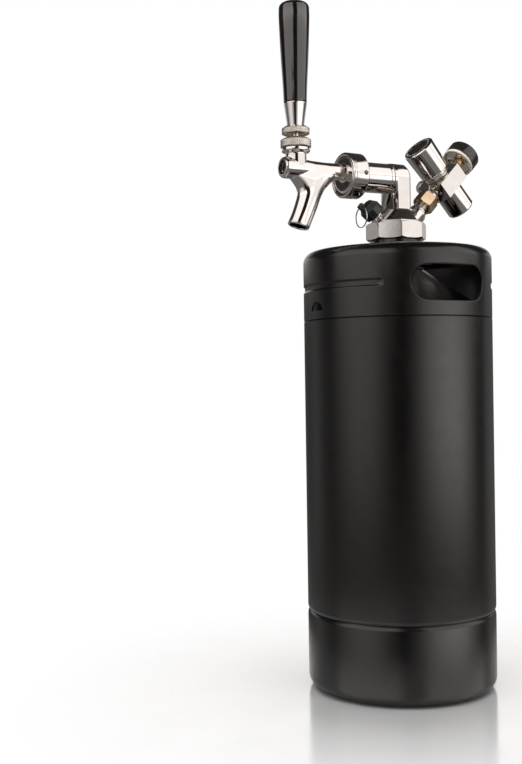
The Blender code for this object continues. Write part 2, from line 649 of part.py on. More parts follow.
def regulator_body():
    """A block with bevelled corners. In the knob's frame, X runs along the nipple's axis."""
    low, high, half = 22.2 - BODY_A, 56.5 - BODY_A, BODY_HALF_WIDTH
    outline = [
        (low, -half + 8.5), (low + 4.5, -half), (high - 3.5, -half), (high, -half + 6.5),
        (high, half - 6.5), (high - 3.5, half), (low + 4.5, half), (low, half - 8.5),
    ]
    body = prism("regulator_body", KNOB_AXIS, outline, BODY_BOTTOM_K, BODY_TOP_K, "chrome")
    cut(
        body,
        rod("cut_diaphragm_seat", KNOB_AXIS, 9.1, -0.5, BODY_TOP_K + OVERSHOOT, sides=MEDIUM),
        rod("cut_valve_bore", KNOB_AXIS, 1.9, -5.0, 1.0, sides=COARSE),
        rod("cut_valve_chamber", KNOB_AXIS, 4.5, BODY_BOTTOM_K - OVERSHOOT, -3.5, sides=MEDIUM),
        rod("cut_inlet", NIPPLE_AXIS, 1.4, 15.0, BODY_A - 3.0, sides=8),
        rod("cut_gauge_port", NIPPLE_AXIS, 1.4, BODY_A + 3.0, 62.0, sides=8),
        rod("cut_side_port", SIDE_VALVE_AXIS, 1.4, 3.0, 20.0, sides=8),
    )
    chamfer = Vector((-8.5, -4.5, 0)).normalized()
    corner_middle = Vector((low + 2.25, -half + 4.25, -1.0))
    where = KNOB_AXIS @ frame(corner_middle, chamfer, Z)
    cut(body, rod("cut_plug_hole", where, 1.6, -2.0, OVERSHOOT, sides=COARSE))
    rod("port_plug", where, 1.3, -1.6, 0.4, "steel", COARSE)
    return body


def pressure_parts():
    """What lies under the knob: the diaphragm, its spring and screw, and the valve that it opens."""
    disc = [(0.0, -0.2), (8.7, -0.2), (8.7, 0.6), (0.0, 0.6)]
    turned("diaphragm", KNOB_AXIS, disc, "black_rubber", MEDIUM)
    bonnet = [
        (7.0, 0.9), (8.7, 0.9), (8.7, 6.8), (10.5, 6.8), (10.5, 8.3), (9.9, 8.7), (9.9, 9.3),
        (10.5, 9.7), (10.5, 11.2), (8.3, 11.2), (8.3, 24.0), (3.3, 24.0), (3.3, 22.0), (6.4, 22.0),
        (6.4, 2.6), (7.0, 2.6),
    ]
    turned("regulator_bonnet", KNOB_AXIS, bonnet, "nickel", FINE)
    rod("lower_spring_plate", KNOB_AXIS, 5.9, 0.9, 2.3, "steel", MEDIUM)
    coil_spring("range_spring", KNOB_AXIS, 4.5, 0.55, 2.6, 14.6, 4, "steel")
    rod("upper_spring_plate", KNOB_AXIS, 5.9, 14.9, 16.3, "steel", MEDIUM)
    rod("adjusting_screw", KNOB_AXIS, 2.9, 16.6, 29.0, "steel", COARSE)

    poppet = [(0.0, -5.0), (3.5, -5.0), (3.5, -3.9), (1.5, -3.9), (1.5, -0.8), (0.0, -0.8)]
    turned("poppet", KNOB_AXIS, poppet, "brass", COARSE)
    coil_spring("poppet_spring", KNOB_AXIS, 2.6, 0.3, -8.0, -5.3, 2, "steel")


def knob_parts():
    knob = [
        (10.9, 11.6), (12.0, 11.6), (12.2, 12.2), (KNOB_RADIUS, 35.6), (KNOB_RADIUS - 0.8, 36.6),
        (11.7, 36.6), (11.7, 34.8), (0.0, 34.8), (0.0, 30.6), (3.3, 30.6), (3.3, 25.0),
        (5.6, 25.0), (5.6, 30.6), (10.9, 30.6),
    ]
    outline = knob[8:] + knob[:8]
    turned("adjusting_knob", KNOB_AXIS, outline, "chrome", FINE)
    face = [(0.0, 35.1), (11.4, 35.1), (11.4, 36.9), (8.8, 36.9), (8.6, 36.0), (0.0, 36.0)]
    turned("knob_disc", KNOB_AXIS, face, "black_plastic", FINE)


def cartridge_parts():
    top = BODY_BOTTOM_K - CLEAR
    socket = [
        (2.4, top), (11.4, top), (11.4, -28.8), (10.6, -30.0), (9.8, -30.0), (9.8, -21.0),
        (4.9, -21.0), (4.9, top - 1.0), (2.4, top - 1.0),
    ]
    turned("cartridge_socket", KNOB_AXIS, socket, "chrome", FINE)
    pin = [
        (0.0, top - 1.4), (4.5, top - 1.4), (4.5, top - 2.6), (1.6, top - 2.6), (1.6, top - 5.5),
        (0.0, top - 7.5),
    ]
    turned("piercing_pin", KNOB_AXIS, pin, "steel", COARSE)
    ring("socket_seal", KNOB_AXIS, 2.3, 4.5, top - 4.8, top - 2.9, "black_rubber", COARSE)


def side_valve():
    face = BODY_HALF_WIDTH
    body = [
        (0.0, face + CLEAR), (4.5, face + CLEAR), (4.5, face + 1.6), (6.0, face + 2.0),
        (6.0, face + 9.0), (5.2, face + 9.8), (0.0, face + 9.8),
    ]
    turned("side_valve_body", SIDE_VALVE_AXIS, body, "chrome", MEDIUM)
    cap = [(0.0, face + 10.1), (4.2, face + 10.1), (4.2, face + 12.2), (3.4, face + 13.0), (0.0, face + 13.0)]
    turned("side_valve_cap", SIDE_VALVE_AXIS, cap, "nickel", COARSE)


def gauge_parts():
    back, front, radius = GAUGE_BACK_A, GAUGE_FRONT_A, GAUGE_RADIUS
    stem = [
        (1.5, 56.8), (4.6, 56.8), (4.6, 58.0), (6.3, 58.4), (6.3, 61.2), (4.6, 61.6), (4.6, back + 2.4),
        (1.5, back + 2.4),
    ]
    turned("gauge_stem", NIPPLE_AXIS, stem, "brass", COARSE)
    bezel = [(11.6, back + 0.4), (12.2, back), (radius - 0.3, back + 0.2), (radius - 0.1, back + 2.5), (11.6, back + 2.5)]
    turned("gauge_ring", NIPPLE_AXIS, bezel, "cream_plastic", FINE)
    case = [
        (0.0, back + 2.8), (4.0, back + 2.8), (11.2, back + 2.8), (12.2, back + 2.8), (12.2, front - 1.0),
        (11.4, front - 1.0), (11.4, back + 3.8), (0.0, back + 3.8),
    ]
    turned("gauge_case", NIPPLE_AXIS, case, "chrome", FINE)
    boot = [
        (12.5, back + 2.8), (radius, back + 2.8), (radius, front - 0.6), (radius - 0.6, front),
        (12.5, front),
    ]
    turned("gauge_boot", NIPPLE_AXIS, boot, "black_rubber", FINE)
    rod("gauge_dial", NIPPLE_AXIS, 11.1, front - 4.6, front - 4.0, "white_paint", MEDIUM)
    arbor = [(0.0, front - 3.7), (1.3, front - 3.7), (1.3, front - 2.6), (0.0, front - 2.6)]
    pointer = turned("gauge_pointer", NIPPLE_AXIS, arbor, "black_plastic", COARSE)
    needle = [(-2.6, -0.5), (-2.6, 0.5), (9.0, 0.2), (9.0, -0.2)]
    lean = NIPPLE_AXIS @ Matrix.Rotation(math.radians(45), 4, "Z")
    join(pointer, prism("add_needle", lean, needle, front - 3.3, front - 2.9))
    rod("gauge_lens", NIPPLE_AXIS, 11.1, front - 2.2, front - 0.9, "clear_glass", MEDIUM)


def clear_scene():
    for old in list(bpy.data.objects):
        bpy.data.objects.remove(old, do_unlink=True)


def main():
    clear_scene()
    keg_vessel()
    top_collar()
    bottom_skirt()
    neck_boss()
    collar_nut()
    head_parts()
    tap_post()
    shank_parts()
    faucet_body()
    faucet_inner_parts()
    lever_parts()
    relief_valve()
    gas_connection()
    regulator_body()
    pressure_parts()
    knob_parts()
    cartridge_parts()
    side_valve()
    gauge_parts()


main()
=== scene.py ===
import json
import math

import bmesh
import bpy
from mathutils import Matrix, Vector

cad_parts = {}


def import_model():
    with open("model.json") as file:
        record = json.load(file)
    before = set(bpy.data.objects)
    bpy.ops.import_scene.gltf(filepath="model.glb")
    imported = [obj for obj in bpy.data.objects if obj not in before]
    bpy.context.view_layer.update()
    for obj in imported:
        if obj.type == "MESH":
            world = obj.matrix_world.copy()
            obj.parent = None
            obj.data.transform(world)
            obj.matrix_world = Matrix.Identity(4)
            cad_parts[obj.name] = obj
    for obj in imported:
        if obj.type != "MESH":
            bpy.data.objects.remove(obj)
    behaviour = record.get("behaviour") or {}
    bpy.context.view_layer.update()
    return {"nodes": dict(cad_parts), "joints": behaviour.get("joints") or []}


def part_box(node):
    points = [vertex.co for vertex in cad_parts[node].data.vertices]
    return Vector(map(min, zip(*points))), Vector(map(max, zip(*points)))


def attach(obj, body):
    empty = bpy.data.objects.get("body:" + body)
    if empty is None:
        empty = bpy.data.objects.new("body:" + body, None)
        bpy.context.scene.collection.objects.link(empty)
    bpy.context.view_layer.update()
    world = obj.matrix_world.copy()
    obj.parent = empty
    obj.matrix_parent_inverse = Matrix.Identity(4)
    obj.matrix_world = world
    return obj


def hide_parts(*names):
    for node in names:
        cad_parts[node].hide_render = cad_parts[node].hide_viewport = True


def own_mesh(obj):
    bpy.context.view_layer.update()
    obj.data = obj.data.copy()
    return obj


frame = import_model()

MM = 0.001
X, Y, Z = Vector((1, 0, 0)), Vector((0, 1, 0)), Vector((0, 0, 1))
JOINTS = {joint["name"]: joint for joint in frame["joints"]}


# -------- places, in millimetres


def axes(origin, z_axis, x_axis):
    """A frame at ORIGIN (mm) with its Z along Z_AXIS and its X as near X_AXIS as can be."""
    z_axis = z_axis.normalized()
    x_axis = (x_axis - z_axis * x_axis.dot(z_axis)).normalized()
    turn = Matrix((x_axis, z_axis.cross(x_axis), z_axis)).transposed()
    return Matrix.Translation(origin * MM) @ turn.to_4x4()


def joint_place(name):
    return Vector(JOINTS[name]["pos_m"]) / MM, Vector(JOINTS[name]["axis"])


low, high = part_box("keg_vessel")
KEG_Y = (low[1] + high[1]) / 2 / MM
KEG_AXIS = Vector((0, KEG_Y, 0))
RADIUS = (high[0] - low[0]) / 2 / MM
RIM_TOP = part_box("top_collar")[1][2] / MM
COLLAR_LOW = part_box("top_collar")[0][2] / MM
SKIRT_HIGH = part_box("bottom_skirt")[1][2] / MM
HANDLE_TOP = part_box("tap_handle")[1][2] / MM

TAP_Z, BARREL_Z = 405.0, 407.4
RELIEF_START_S, RELIEF_START_Z = 15.5, 372.2
NIPPLE_TO_KNOB, SIDE_VALVE_TO_KNOB = 40.0, 2.0
PIVOT = joint_place("lever_pull")[0]
LEVER_S, PIVOT_Z = KEG_Y - PIVOT.y, PIVOT.z
RELIEF_OUT = Vector(JOINTS["relief_pull"]["axis"])
RING_POINT = joint_place("ring_swing")[0]
KNOB_POINT, knob_down = joint_place("knob_turn")
KNOB_UP = -knob_down
NIPPLE_UP = -joint_place("pointer_swing")[1]
GAS_SIDE = NIPPLE_UP.cross(KNOB_UP)


def ahead(s, z):
    """The place S mm in front of the keg's axis at height Z."""
    return KEG_AXIS + Vector((0, -s, z))


UPRIGHT = axes(KEG_AXIS, Z, X)
TAP_AXIS = axes(ahead(0, TAP_Z), -Y, X)
BARREL_AXIS = axes(ahead(0, BARREL_Z), -Y, X)
LEVER_AXIS = axes(ahead(LEVER_S, 0), Z, X)
RELIEF_AXIS = axes(ahead(RELIEF_START_S, RELIEF_START_Z), RELIEF_OUT, X)
KNOB_AXIS = axes(KNOB_POINT, KNOB_UP, NIPPLE_UP)
NIPPLE_AXIS = axes(KNOB_POINT - NIPPLE_UP * NIPPLE_TO_KNOB, NIPPLE_UP, GAS_SIDE)
SIDE_VALVE_AXIS = axes(KNOB_POINT - NIPPLE_UP * SIDE_VALVE_TO_KNOB, -GAS_SIDE, NIPPLE_UP)
HERE = Matrix.Identity(4)


# -------- materials


class Look:
    """A Principled material and the few nodes that give it its grain, in object space and millimetres."""

    def __init__(self, name, colour, roughness, metallic=0.0, **constants):
        self.material = bpy.data.materials.new(name)
        self.material.use_nodes = True
        self.tree = self.material.node_tree
        self.shader = self.tree.nodes["Principled BSDF"]
        self.set("Base Color", (*colour, 1.0))
        self.set("Roughness", roughness)
        self.set("Metallic", metallic)
        for socket, value in constants.items():
            self.set(socket.replace("_", " "), value)
        place = self.tree.nodes.new("ShaderNodeTexCoord").outputs["Object"]
        scale = self.tree.nodes.new("ShaderNodeVectorMath")
        scale.operation = "SCALE"
        scale.inputs["Scale"].default_value = 1 / MM
        self.tree.links.new(place, scale.inputs[0])
        self.place = scale.outputs[0]
        self.bump = None

    def set(self, socket, value):
        self.shader.inputs[socket].default_value = value

    def noise(self, size, detail=2.0, stretch=(1, 1, 1)):
        """Noise with features SIZE mm across, drawn out along the axes with a large STRETCH."""
        shape = self.tree.nodes.new("ShaderNodeVectorMath")
        shape.operation = "MULTIPLY"
        shape.inputs[1].default_value = [1 / (size * s) for s in stretch]
        self.tree.links.new(self.place, shape.inputs[0])
        made = self.tree.nodes.new("ShaderNodeTexNoise")
        made.inputs["Scale"].default_value = 1.0
        made.inputs["Detail"].default_value = detail
        self.tree.links.new(shape.outputs[0], made.inputs["Vector"])
        return made.outputs["Fac"]

    def spread(self, value, low, high, start=0.35, end=0.65):
        made = self.tree.nodes.new("ShaderNodeMapRange")
        for socket, number in (("From Min", start), ("From Max", end), ("To Min", low), ("To Max", high)):
            made.inputs[socket].default_value = number
        self.tree.links.new(value, made.inputs["Value"])
        return made.outputs["Result"]

    def vary_colour(self, value, first, second):
        mix = self.tree.nodes.new("ShaderNodeMix")
        mix.data_type = "RGBA"
        mix.inputs[6].default_value = (*first, 1.0)
        mix.inputs[7].default_value = (*second, 1.0)
        self.tree.links.new(self.spread(value, 0.0, 1.0), mix.inputs[0])
        self.tree.links.new(mix.outputs[2], self.shader.inputs["Base Color"])
        return self

    def vary_roughness(self, value, low, high):
        self.tree.links.new(self.spread(value, low, high), self.shader.inputs["Roughness"])
        return self

    def relief(self, value, depth):
        """Bumps DEPTH mm deep from VALUE."""
        made = self.tree.nodes.new("ShaderNodeBump")
        made.inputs["Strength"].default_value = 1.0
        made.inputs["Distance"].default_value = depth * MM
        self.tree.links.new(value, made.inputs["Height"])
        if self.bump:
            self.tree.links.new(self.bump, made.inputs["Normal"])
        self.bump = made.outputs["Normal"]
        self.tree.links.new(self.bump, self.shader.inputs["Normal"])
        return self


def coated(name, colour, second, rough_low, rough_high):
    """Matt powder coat: a fine pebbled skin over a slow ripple."""
    look = Look(name, colour, rough_high, IOR=1.62, Specular_Tint=(1.0, 0.96, 0.94, 1.0))
    look.vary_colour(look.noise(14.0, 3.0), colour, second)
    look.vary_roughness(look.noise(9.0, 4.0), rough_low, rough_high)
    look.relief(look.noise(0.45, 1.0), 0.012).relief(look.noise(6.0, 1.0), 0.010)
    return look.material


def plated(name, colour, second, rough_low, rough_high):
    """Polished plate: a faint ripple, slow tarnish and thin wiping marks."""
    look = Look(name, colour, rough_low, 1.0)
    look.vary_colour(look.noise(7.0, 3.0), colour, second)
    look.vary_roughness(look.noise(3.0, 5.0, (1, 1, 4)), rough_low, rough_high)
    look.relief(look.noise(5.0, 1.0), 0.004)
    return look.material


def brushed(name, colour, second, roughness, stretch=(8, 8, 1)):
    """Turned or drawn metal with fine lines."""
    look = Look(name, colour, roughness, 1.0)
    look.vary_colour(look.noise(2.0, 3.0), colour, second)
    look.vary_roughness(look.noise(0.5, 3.0, stretch), roughness * 0.8, roughness * 1.3)
    look.relief(look.noise(0.25, 2.0, stretch), 0.004)
    return look.material


def moulded(name, colour, second, rough_low, rough_high, grain=0.3, depth=0.01, **constants):
    """Moulded plastic or rubber with a fine grain."""
    look = Look(name, colour, rough_high, **constants)
    look.vary_colour(look.noise(4.0, 3.0), colour, second)
    look.vary_roughness(look.noise(2.5, 4.0), rough_low, rough_high)
    look.relief(look.noise(grain, 2.0), depth)
    return look.material


LOOKS = {
    "coat": coated("powder_coat", (0.0022, 0.0021, 0.0020), (0.0032, 0.0030, 0.0028), 0.22, 0.26),
    "weld": coated("coated_weld", (0.014, 0.013, 0.012), (0.02, 0.018, 0.017), 0.40, 0.55),
    "chrome": plated("polished_chrome", (0.86, 0.81, 0.78), (0.82, 0.765, 0.73), 0.035, 0.08),
    # A darker copy of the polished chrome: painted shade, for the plug that sits in the faucet's mouth.
    "chrome_shaded": plated("shade_painted_chrome", (0.17, 0.155, 0.15), (0.13, 0.12, 0.115), 0.12, 0.20),
    "nickel": brushed("knurled_nickel", (0.84, 0.765, 0.69), (0.76, 0.68, 0.60), 0.24),
    "satin": brushed("satin_nickel", (0.74, 0.69, 0.62), (0.66, 0.60, 0.53), 0.17),
    "blasted": brushed("blasted_nickel", (0.86, 0.83, 0.80), (0.80, 0.77, 0.74), 0.42, (1, 1, 1)),
    "brass": plated("plated_brass", (0.80, 0.62, 0.41), (0.70, 0.50, 0.30), 0.10, 0.20),
    "steel": brushed("stainless_steel", (0.62, 0.61, 0.59), (0.55, 0.54, 0.52), 0.24),
    "wire": plated("steel_wire", (0.66, 0.63, 0.60), (0.52, 0.49, 0.46), 0.08, 0.16),
    "handle": moulded(
        "gloss_handle", (0.006, 0.0055, 0.0052), (0.009, 0.0082, 0.0078), 0.07, 0.12, 9.0, 0.003,
        IOR=2.0, Specular_Tint=(1.0, 0.95, 0.92, 1.0),
    ),
    "plastic": moulded(
        "black_plastic", (0.022, 0.0205, 0.0195), (0.035, 0.032, 0.030), 0.34, 0.46, 0.35, 0.012,
    ),
    "rubber": moulded("black_rubber", (0.013, 0.013, 0.014), (0.022, 0.021, 0.021), 0.42, 0.58, 0.5, 0.010),
    "boot": moulded(
        "smooth_rubber", (0.010, 0.0097, 0.0095), (0.016, 0.0155, 0.015), 0.16, 0.24, 3.0, 0.004, IOR=1.7,
    ),
    "cream": moulded("cream_plastic", (0.80, 0.755, 0.66), (0.74, 0.69, 0.59), 0.32, 0.42, 0.6, 0.006),
    "enamel": moulded("white_enamel", (0.82, 0.82, 0.79), (0.78, 0.77, 0.74), 0.35, 0.45, 0.5, 0.002),
    "ink": moulded("dial_ink", (0.02, 0.02, 0.022), (0.03, 0.03, 0.03), 0.45, 0.55, 0.4, 0.002),
    "tick": moulded("pale_marking", (0.55, 0.54, 0.52), (0.45, 0.44, 0.42), 0.4, 0.5, 0.4, 0.002),
    "lens": moulded(
        "clear_lens", (0.97, 0.98, 0.98), (0.95, 0.97, 0.97), 0.02, 0.04, 8.0, 0.002,
        Transmission_Weight=1.0, IOR=1.47,
    ),
}


# -------- shapes


def rounded(outline, radius, steps=3):
    """Softens every inner corner of an open outline with a short curve."""
    points = [Vector(p) for p in outline]
    made = [points[0]]
    for before, here, after in zip(points, points[1:], points[2:]):
        back, on = before - here, after - here
        reach = min(radius, 0.45 * back.length, 0.45 * on.length)
        if reach < 0.02 or back.angle(on, 0.0) > math.radians(176):
            made.append(here)
            continue
        first, last = here + back.normalized() * reach, here + on.normalized() * reach
        for i in range(steps + 1):
            t = i / steps
            made.append(first * (1 - t) ** 2 + here * 2 * t * (1 - t) + last * t * t)
    return made + [points[-1]]


def arc(centre_r, centre_h, radius, start, end, steps):
    angles = (math.radians(start + (end - start) * i / steps) for i in range(steps + 1))
    return [(centre_r + radius * math.cos(a), centre_h + radius * math.sin(a)) for a in angles]


def polygon(corners, radius, start=0.0):
    angles = (math.radians(start + 360 / corners * i) for i in range(corners))
    return [(radius * math.cos(a), radius * math.sin(a)) for a in angles]


def circle(radius, height, count):
    turns = (2 * math.pi * i / count for i in range(count))
    return [Vector((radius * math.cos(a), radius * math.sin(a), height)) for a in turns]


def add(name, data):
    made = bpy.data.objects.new(name, data)
    bpy.context.scene.collection.objects.link(made)
    return made


def show(name, mesh, where, look=None, body=None):
    """Adds a bmesh as a piece. With no look it is a hidden cutter."""
    bmesh.ops.recalc_face_normals(mesh, faces=mesh.faces)
    data = bpy.data.meshes.new(name)
    mesh.to_mesh(data)
    mesh.free()
    made = add(name, data)
    made.matrix_world = where
    if look:
        data.materials.append(LOOKS[look])
        data.shade_smooth()
        data.set_sharp_from_angle(angle=math.radians(35))
    if body:
        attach(made, body)
    return made


def stand_for(made, body, *nodes):
    """The piece rides BODY and is shown in place of the CAD nodes."""
    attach(made, body)
    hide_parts(*nodes)
    return made


def lathe(name, where, outline, look=None, sides=96, start=0.0, soft=0.4, shift=None):
    """Spins a closed outline of (radius, height) points. SHIFT(angle, r, h) moves each point's radius."""
    profile = rounded(outline + outline[:1], soft)[:-1] if outline[0][0] > 0 else rounded(outline, soft)
    mesh = bmesh.new()
    loops = []
    for i in range(sides):
        angle = 2 * math.pi * i / sides + math.radians(start)
        loop = []
        for r, h in profile:
            r += shift(angle, r, h) if shift else 0.0
            loop.append(mesh.verts.new(Vector((r * math.cos(angle), r * math.sin(angle), h)) * MM))
        loops.append(loop)
    count = len(profile)
    spans = count - 1 if outline[0][0] == 0 else count
    for i in range(sides):
        here, there = loops[i], loops[(i + 1) % sides]
        for j in range(spans):
            k = (j + 1) % count
            mesh.faces.new((here[j], there[j], there[k], here[k]))
    bmesh.ops.remove_doubles(mesh, verts=mesh.verts, dist=1e-7)
    bmesh.ops.dissolve_degenerate(mesh, edges=mesh.edges, dist=1e-8)
    return show(name, mesh, where, look)


def turned_part(name, where, outline, look, body, node, sides=96, soft=0.25):
    """A lathed piece that rides BODY and is shown in place of the CAD node."""
    return stand_for(lathe(name, where, outline, look, sides, soft=soft), body, node)


def rod(name, where, radius, low, high, sides=64):
    """A plain cylinder, for cutting with or joining on."""
    outline = [(0.0, low), (radius, low), (radius, high), (0.0, high)]
    return lathe(name, where, outline, sides=sides, soft=0.0)


def prism(name, where, outline, low, high, look=None):
    mesh = bmesh.new()
    base = mesh.faces.new([mesh.verts.new(Vector((x, y, low)) * MM) for x, y in outline])
    raised = bmesh.ops.extrude_face_region(mesh, geom=[base])["geom"]
    moved = [item for item in raised if isinstance(item, bmesh.types.BMVert)]
    bmesh.ops.translate(mesh, verts=moved, vec=(0, 0, (high - low) * MM))
    return show(name, mesh, where, look)


def block(name, where, low, high):
    """A box between two corners, for cutting with or joining on."""
    outline = [(low[0], low[1]), (high[0], low[1]), (high[0], high[1]), (low[0], high[1])]
    return prism(name, where, outline, low[2], high[2])


def skin(name, where, loops, look=None, body=None, closed=False):
    """A surface through LOOPS of as many points each, with its ends capped or joined."""
    mesh = bmesh.new()
    rings = [[mesh.verts.new(point * MM) for point in loop] for loop in loops]
    sides = len(rings[0])
    pairs = list(zip(rings, rings[1:]))
    if closed:
        pairs.append((rings[-1], rings[0]))
    else:
        mesh.faces.new(rings[0])
        mesh.faces.new(rings[-1])
    for here, there in pairs:
        for j in range(sides):
            k = (j + 1) % sides
            mesh.faces.new((here[j], here[k], there[k], there[j]))
    return show(name, mesh, where, look, body)


def tube(name, where, path, radius, look=None, body=None, sides=16, closed=False):
    """A round bar along PATH. RADIUS is a number or a function of the place along it, from 0 to 1."""
    count = len(path)
    loops, side = [], None
    for i, point in enumerate(path):
        before = path[(i - 1) % count] if closed or i else point
        after = path[(i + 1) % count] if closed or i < count - 1 else point
        along = (after - before).normalized()
        side = along.orthogonal() if side is None else side
        side = (side - along * side.dot(along)).normalized()
        up = along.cross(side)
        size = radius(i / count) if callable(radius) else radius
        turns = (2 * math.pi * j / sides for j in range(sides))
        loops.append([point + (side * math.cos(a) + up * math.sin(a)) * size for a in turns])
    return skin(name, where, loops, look, body, closed)


def shade(target, angle):
    """Shades it smooth, with edges sharper than ANGLE degrees kept."""
    target.data.shade_smooth()
    target.data.set_sharp_from_angle(angle=math.radians(angle))


def combine(target, operation, *others):
    for other in others:
        boolean = target.modifiers.new(operation.lower(), "BOOLEAN")
        boolean.operation, boolean.solver, boolean.object = operation, "EXACT", other
    return target


def settle(target, *helpers):
    """Applies a piece's modifiers and deletes the cutters that they used."""
    bpy.context.view_layer.update()
    graph = bpy.context.evaluated_depsgraph_get()
    done = bpy.data.meshes.new_from_object(target.evaluated_get(graph))
    target.modifiers.clear()
    target.data = done
    for helper in helpers:
        bpy.data.objects.remove(helper, do_unlink=True)
    return target


def cut(target, *cutters):
    return settle(combine(target, "DIFFERENCE", *cutters), *cutters)


def join(target, *others):
    return settle(combine(target, "UNION", *others), *others)


def radial_marks(name, where, look, body, bars, low, high):
    """Flat bars that point to a face's middle. Each is (angle, inner radius, outer radius, half width)."""
    marks = bmesh.new()
    for angle, inner, outer, half in bars:
        cos, sin = math.cos(angle), math.sin(angle)
        along, across = Vector((cos, sin, 0)), Vector((-sin, cos, 0))
        flat = ((inner, -half), (outer, -half), (outer, half), (inner, half))
        corners = [along * r + across * w + Z * h for h in (low, high) for r, w in flat]
        verts = [marks.verts.new(c * MM) for c in corners]
        for ring in ((0, 1, 2, 3), (4, 5, 6, 7), (0, 1, 5, 4), (1, 2, 6, 5), (2, 3, 7, 6), (3, 0, 4, 7)):
            marks.faces.new([verts[n] for n in ring])
    show(name, marks, where, look, body)


def edged(target, width=0.4, segments=3, angle=35):
    """Rounds the sharp edges and keeps the flat faces flat."""
    bevel = target.modifiers.new("rounded_edges", "BEVEL")
    bevel.width, bevel.segments = width * MM, segments
    bevel.limit_method, bevel.angle_limit = "ANGLE", math.radians(angle)
    bevel.harden_normals = False
    weighted = target.modifiers.new("flat_faces", "WEIGHTED_NORMAL")
    weighted.keep_sharp = False
    settle(target)
    target.data.shade_smooth()
    return target


def cast(target, size=0.35, passes=10):
    """Melts the joins of a union into one another, as in a casting."""
    remesh = target.modifiers.new("remesh", "REMESH")
    remesh.mode, remesh.voxel_size = "VOXEL", size * MM
    smooth = target.modifiers.new("smooth", "SMOOTH")
    smooth.factor, smooth.iterations = 0.5, passes
    settle(target)
    target.data.shade_smooth()
    return target


# -------- keg

BEAD_Z, BEAD_HALF, BEAD_DEPTH, BEAD_REACH = 317.0, 2.6, 1.0, 45.0
HAND_HOLE_Z, HAND_HALF_WIDTH, HAND_HALF_HEIGHT = 316.5, 33.75, 14.25
DRAIN_Z, SEAM_ANGLE = 298.5, -91.5


def smooth_step(value, start, end):
    t = max(0.0, min(1.0, (value - start) / (end - start)))
    return t * t * (3 - 2 * t)


def bead(angle, r, h):
    """How far the collar's wall is pressed in: a flat-bottomed bead on the front and on the back."""
    if abs(h - BEAD_Z) > BEAD_HALF + 1.0:
        return 0.0
    turn = math.degrees(angle) % 360
    off = min(abs(turn - 90.0), abs(turn - 270.0))
    past_end = max(0.0, off - BEAD_REACH) * math.radians(1.0) * RADIUS
    distance = math.hypot(h - BEAD_Z, past_end)
    return -BEAD_DEPTH * (1 - smooth_step(distance, BEAD_HALF - 1.1, BEAD_HALF + 0.5))


def keg_collar():
    wall, fillet, top = 1.6, 9.0, RIM_TOP
    centre_r, centre_z = RADIUS - fillet, top - fillet
    curl_r, curl_z, curl = centre_r - 2.5, top - 4.0, 4.0
    outline = [(RADIUS - 0.5, COLLAR_LOW), (RADIUS, COLLAR_LOW + 0.5)]
    outline += [(RADIUS, COLLAR_LOW + 4 + i) for i in range(18)]
    outline += [(RADIUS, BEAD_Z - 4 + 0.2 * i) for i in range(41)]
    outline += arc(centre_r, centre_z, fillet, 0, 90, 14)
    outline += arc(curl_r, curl_z, curl, 90, 180, 8)
    outline += [(curl_r - curl, curl_z - 1.5), (curl_r - curl + wall, curl_z - 1.5)]
    outline += arc(curl_r, curl_z, curl - wall, 180, 90, 6)
    outline += arc(centre_r, centre_z, fillet - wall, 90, 0, 10)
    outline += [(RADIUS - wall, COLLAR_LOW)]
    collar = lathe("rim_collar", UPRIGHT, outline, "coat", 288, soft=0.0, shift=bead)

    end, reach = HAND_HALF_HEIGHT, RADIUS + 5
    flat = HAND_HALF_WIDTH - end
    slot = arc(flat, 0, end, -90, 90, 32) + arc(-flat, 0, end, 90, 270, 32)
    across = axes(KEG_AXIS + Z * HAND_HOLE_Z, X, Y)
    drain = [(-8.0, 0.0), (8.0, 0.0)] + arc(0, -1.5, 8.6, 10, 170, 24)
    drain_place = axes(ahead(RADIUS - 5, DRAIN_Z), -Y, X)
    hands = prism("cut_hands", across, slot, -reach, reach)
    cut(collar, hands, prism("cut_drain", drain_place, drain, 0, 10))
    shade(collar, 40)
    stand_for(collar, "keg", "top_collar")

    for side, sign in (("right", 1), ("left", -1)):
        path = []
        for y, z in slot[::2]:
            out = sign * math.sqrt((RADIUS - 0.95) ** 2 - y * y)
            path.append(KEG_AXIS + Vector((out, y, HAND_HOLE_Z + z)))
        tube(f"hand_hole_{side}_edge", HERE, path, 0.95, "coat", "keg", 12, closed=True)
    path = []
    for x, z in drain[2:]:
        out = math.sqrt((RADIUS - 0.5) ** 2 - x * x)
        path.append(ahead(out, DRAIN_Z + z) + X * x)
    tube("drain_hole_edge", HERE, path, 0.45, "coat", "keg", 8)


def weld_seams():
    """The collar's upright weld at the front, and the two short drip lines over its drain hole."""
    def upright(name, angle, low, high, size, look):
        turn = math.radians(angle)
        out = Vector((math.cos(turn), math.sin(turn), 0)) * (RADIUS - size * 0.62)
        steps = 24
        path = [KEG_AXIS + out + Z * (low + (high - low) * i / steps) for i in range(steps + 1)]
        swell = lambda t: size * (1.0 + 0.12 * math.sin(t * 61.0))
        tube(name, HERE, path, swell, look, "keg", 8)

    upright("collar_weld", SEAM_ANGLE - 5.2, COLLAR_LOW + 0.3, 299.0, 0.5, "weld")
    upright("drip_line_left", SEAM_ANGLE - 0.8, 307.6, 314.6, 0.28, "weld")
    upright("drip_line_right", SEAM_ANGLE + 2.6, 307.6, 314.6, 0.28, "weld")


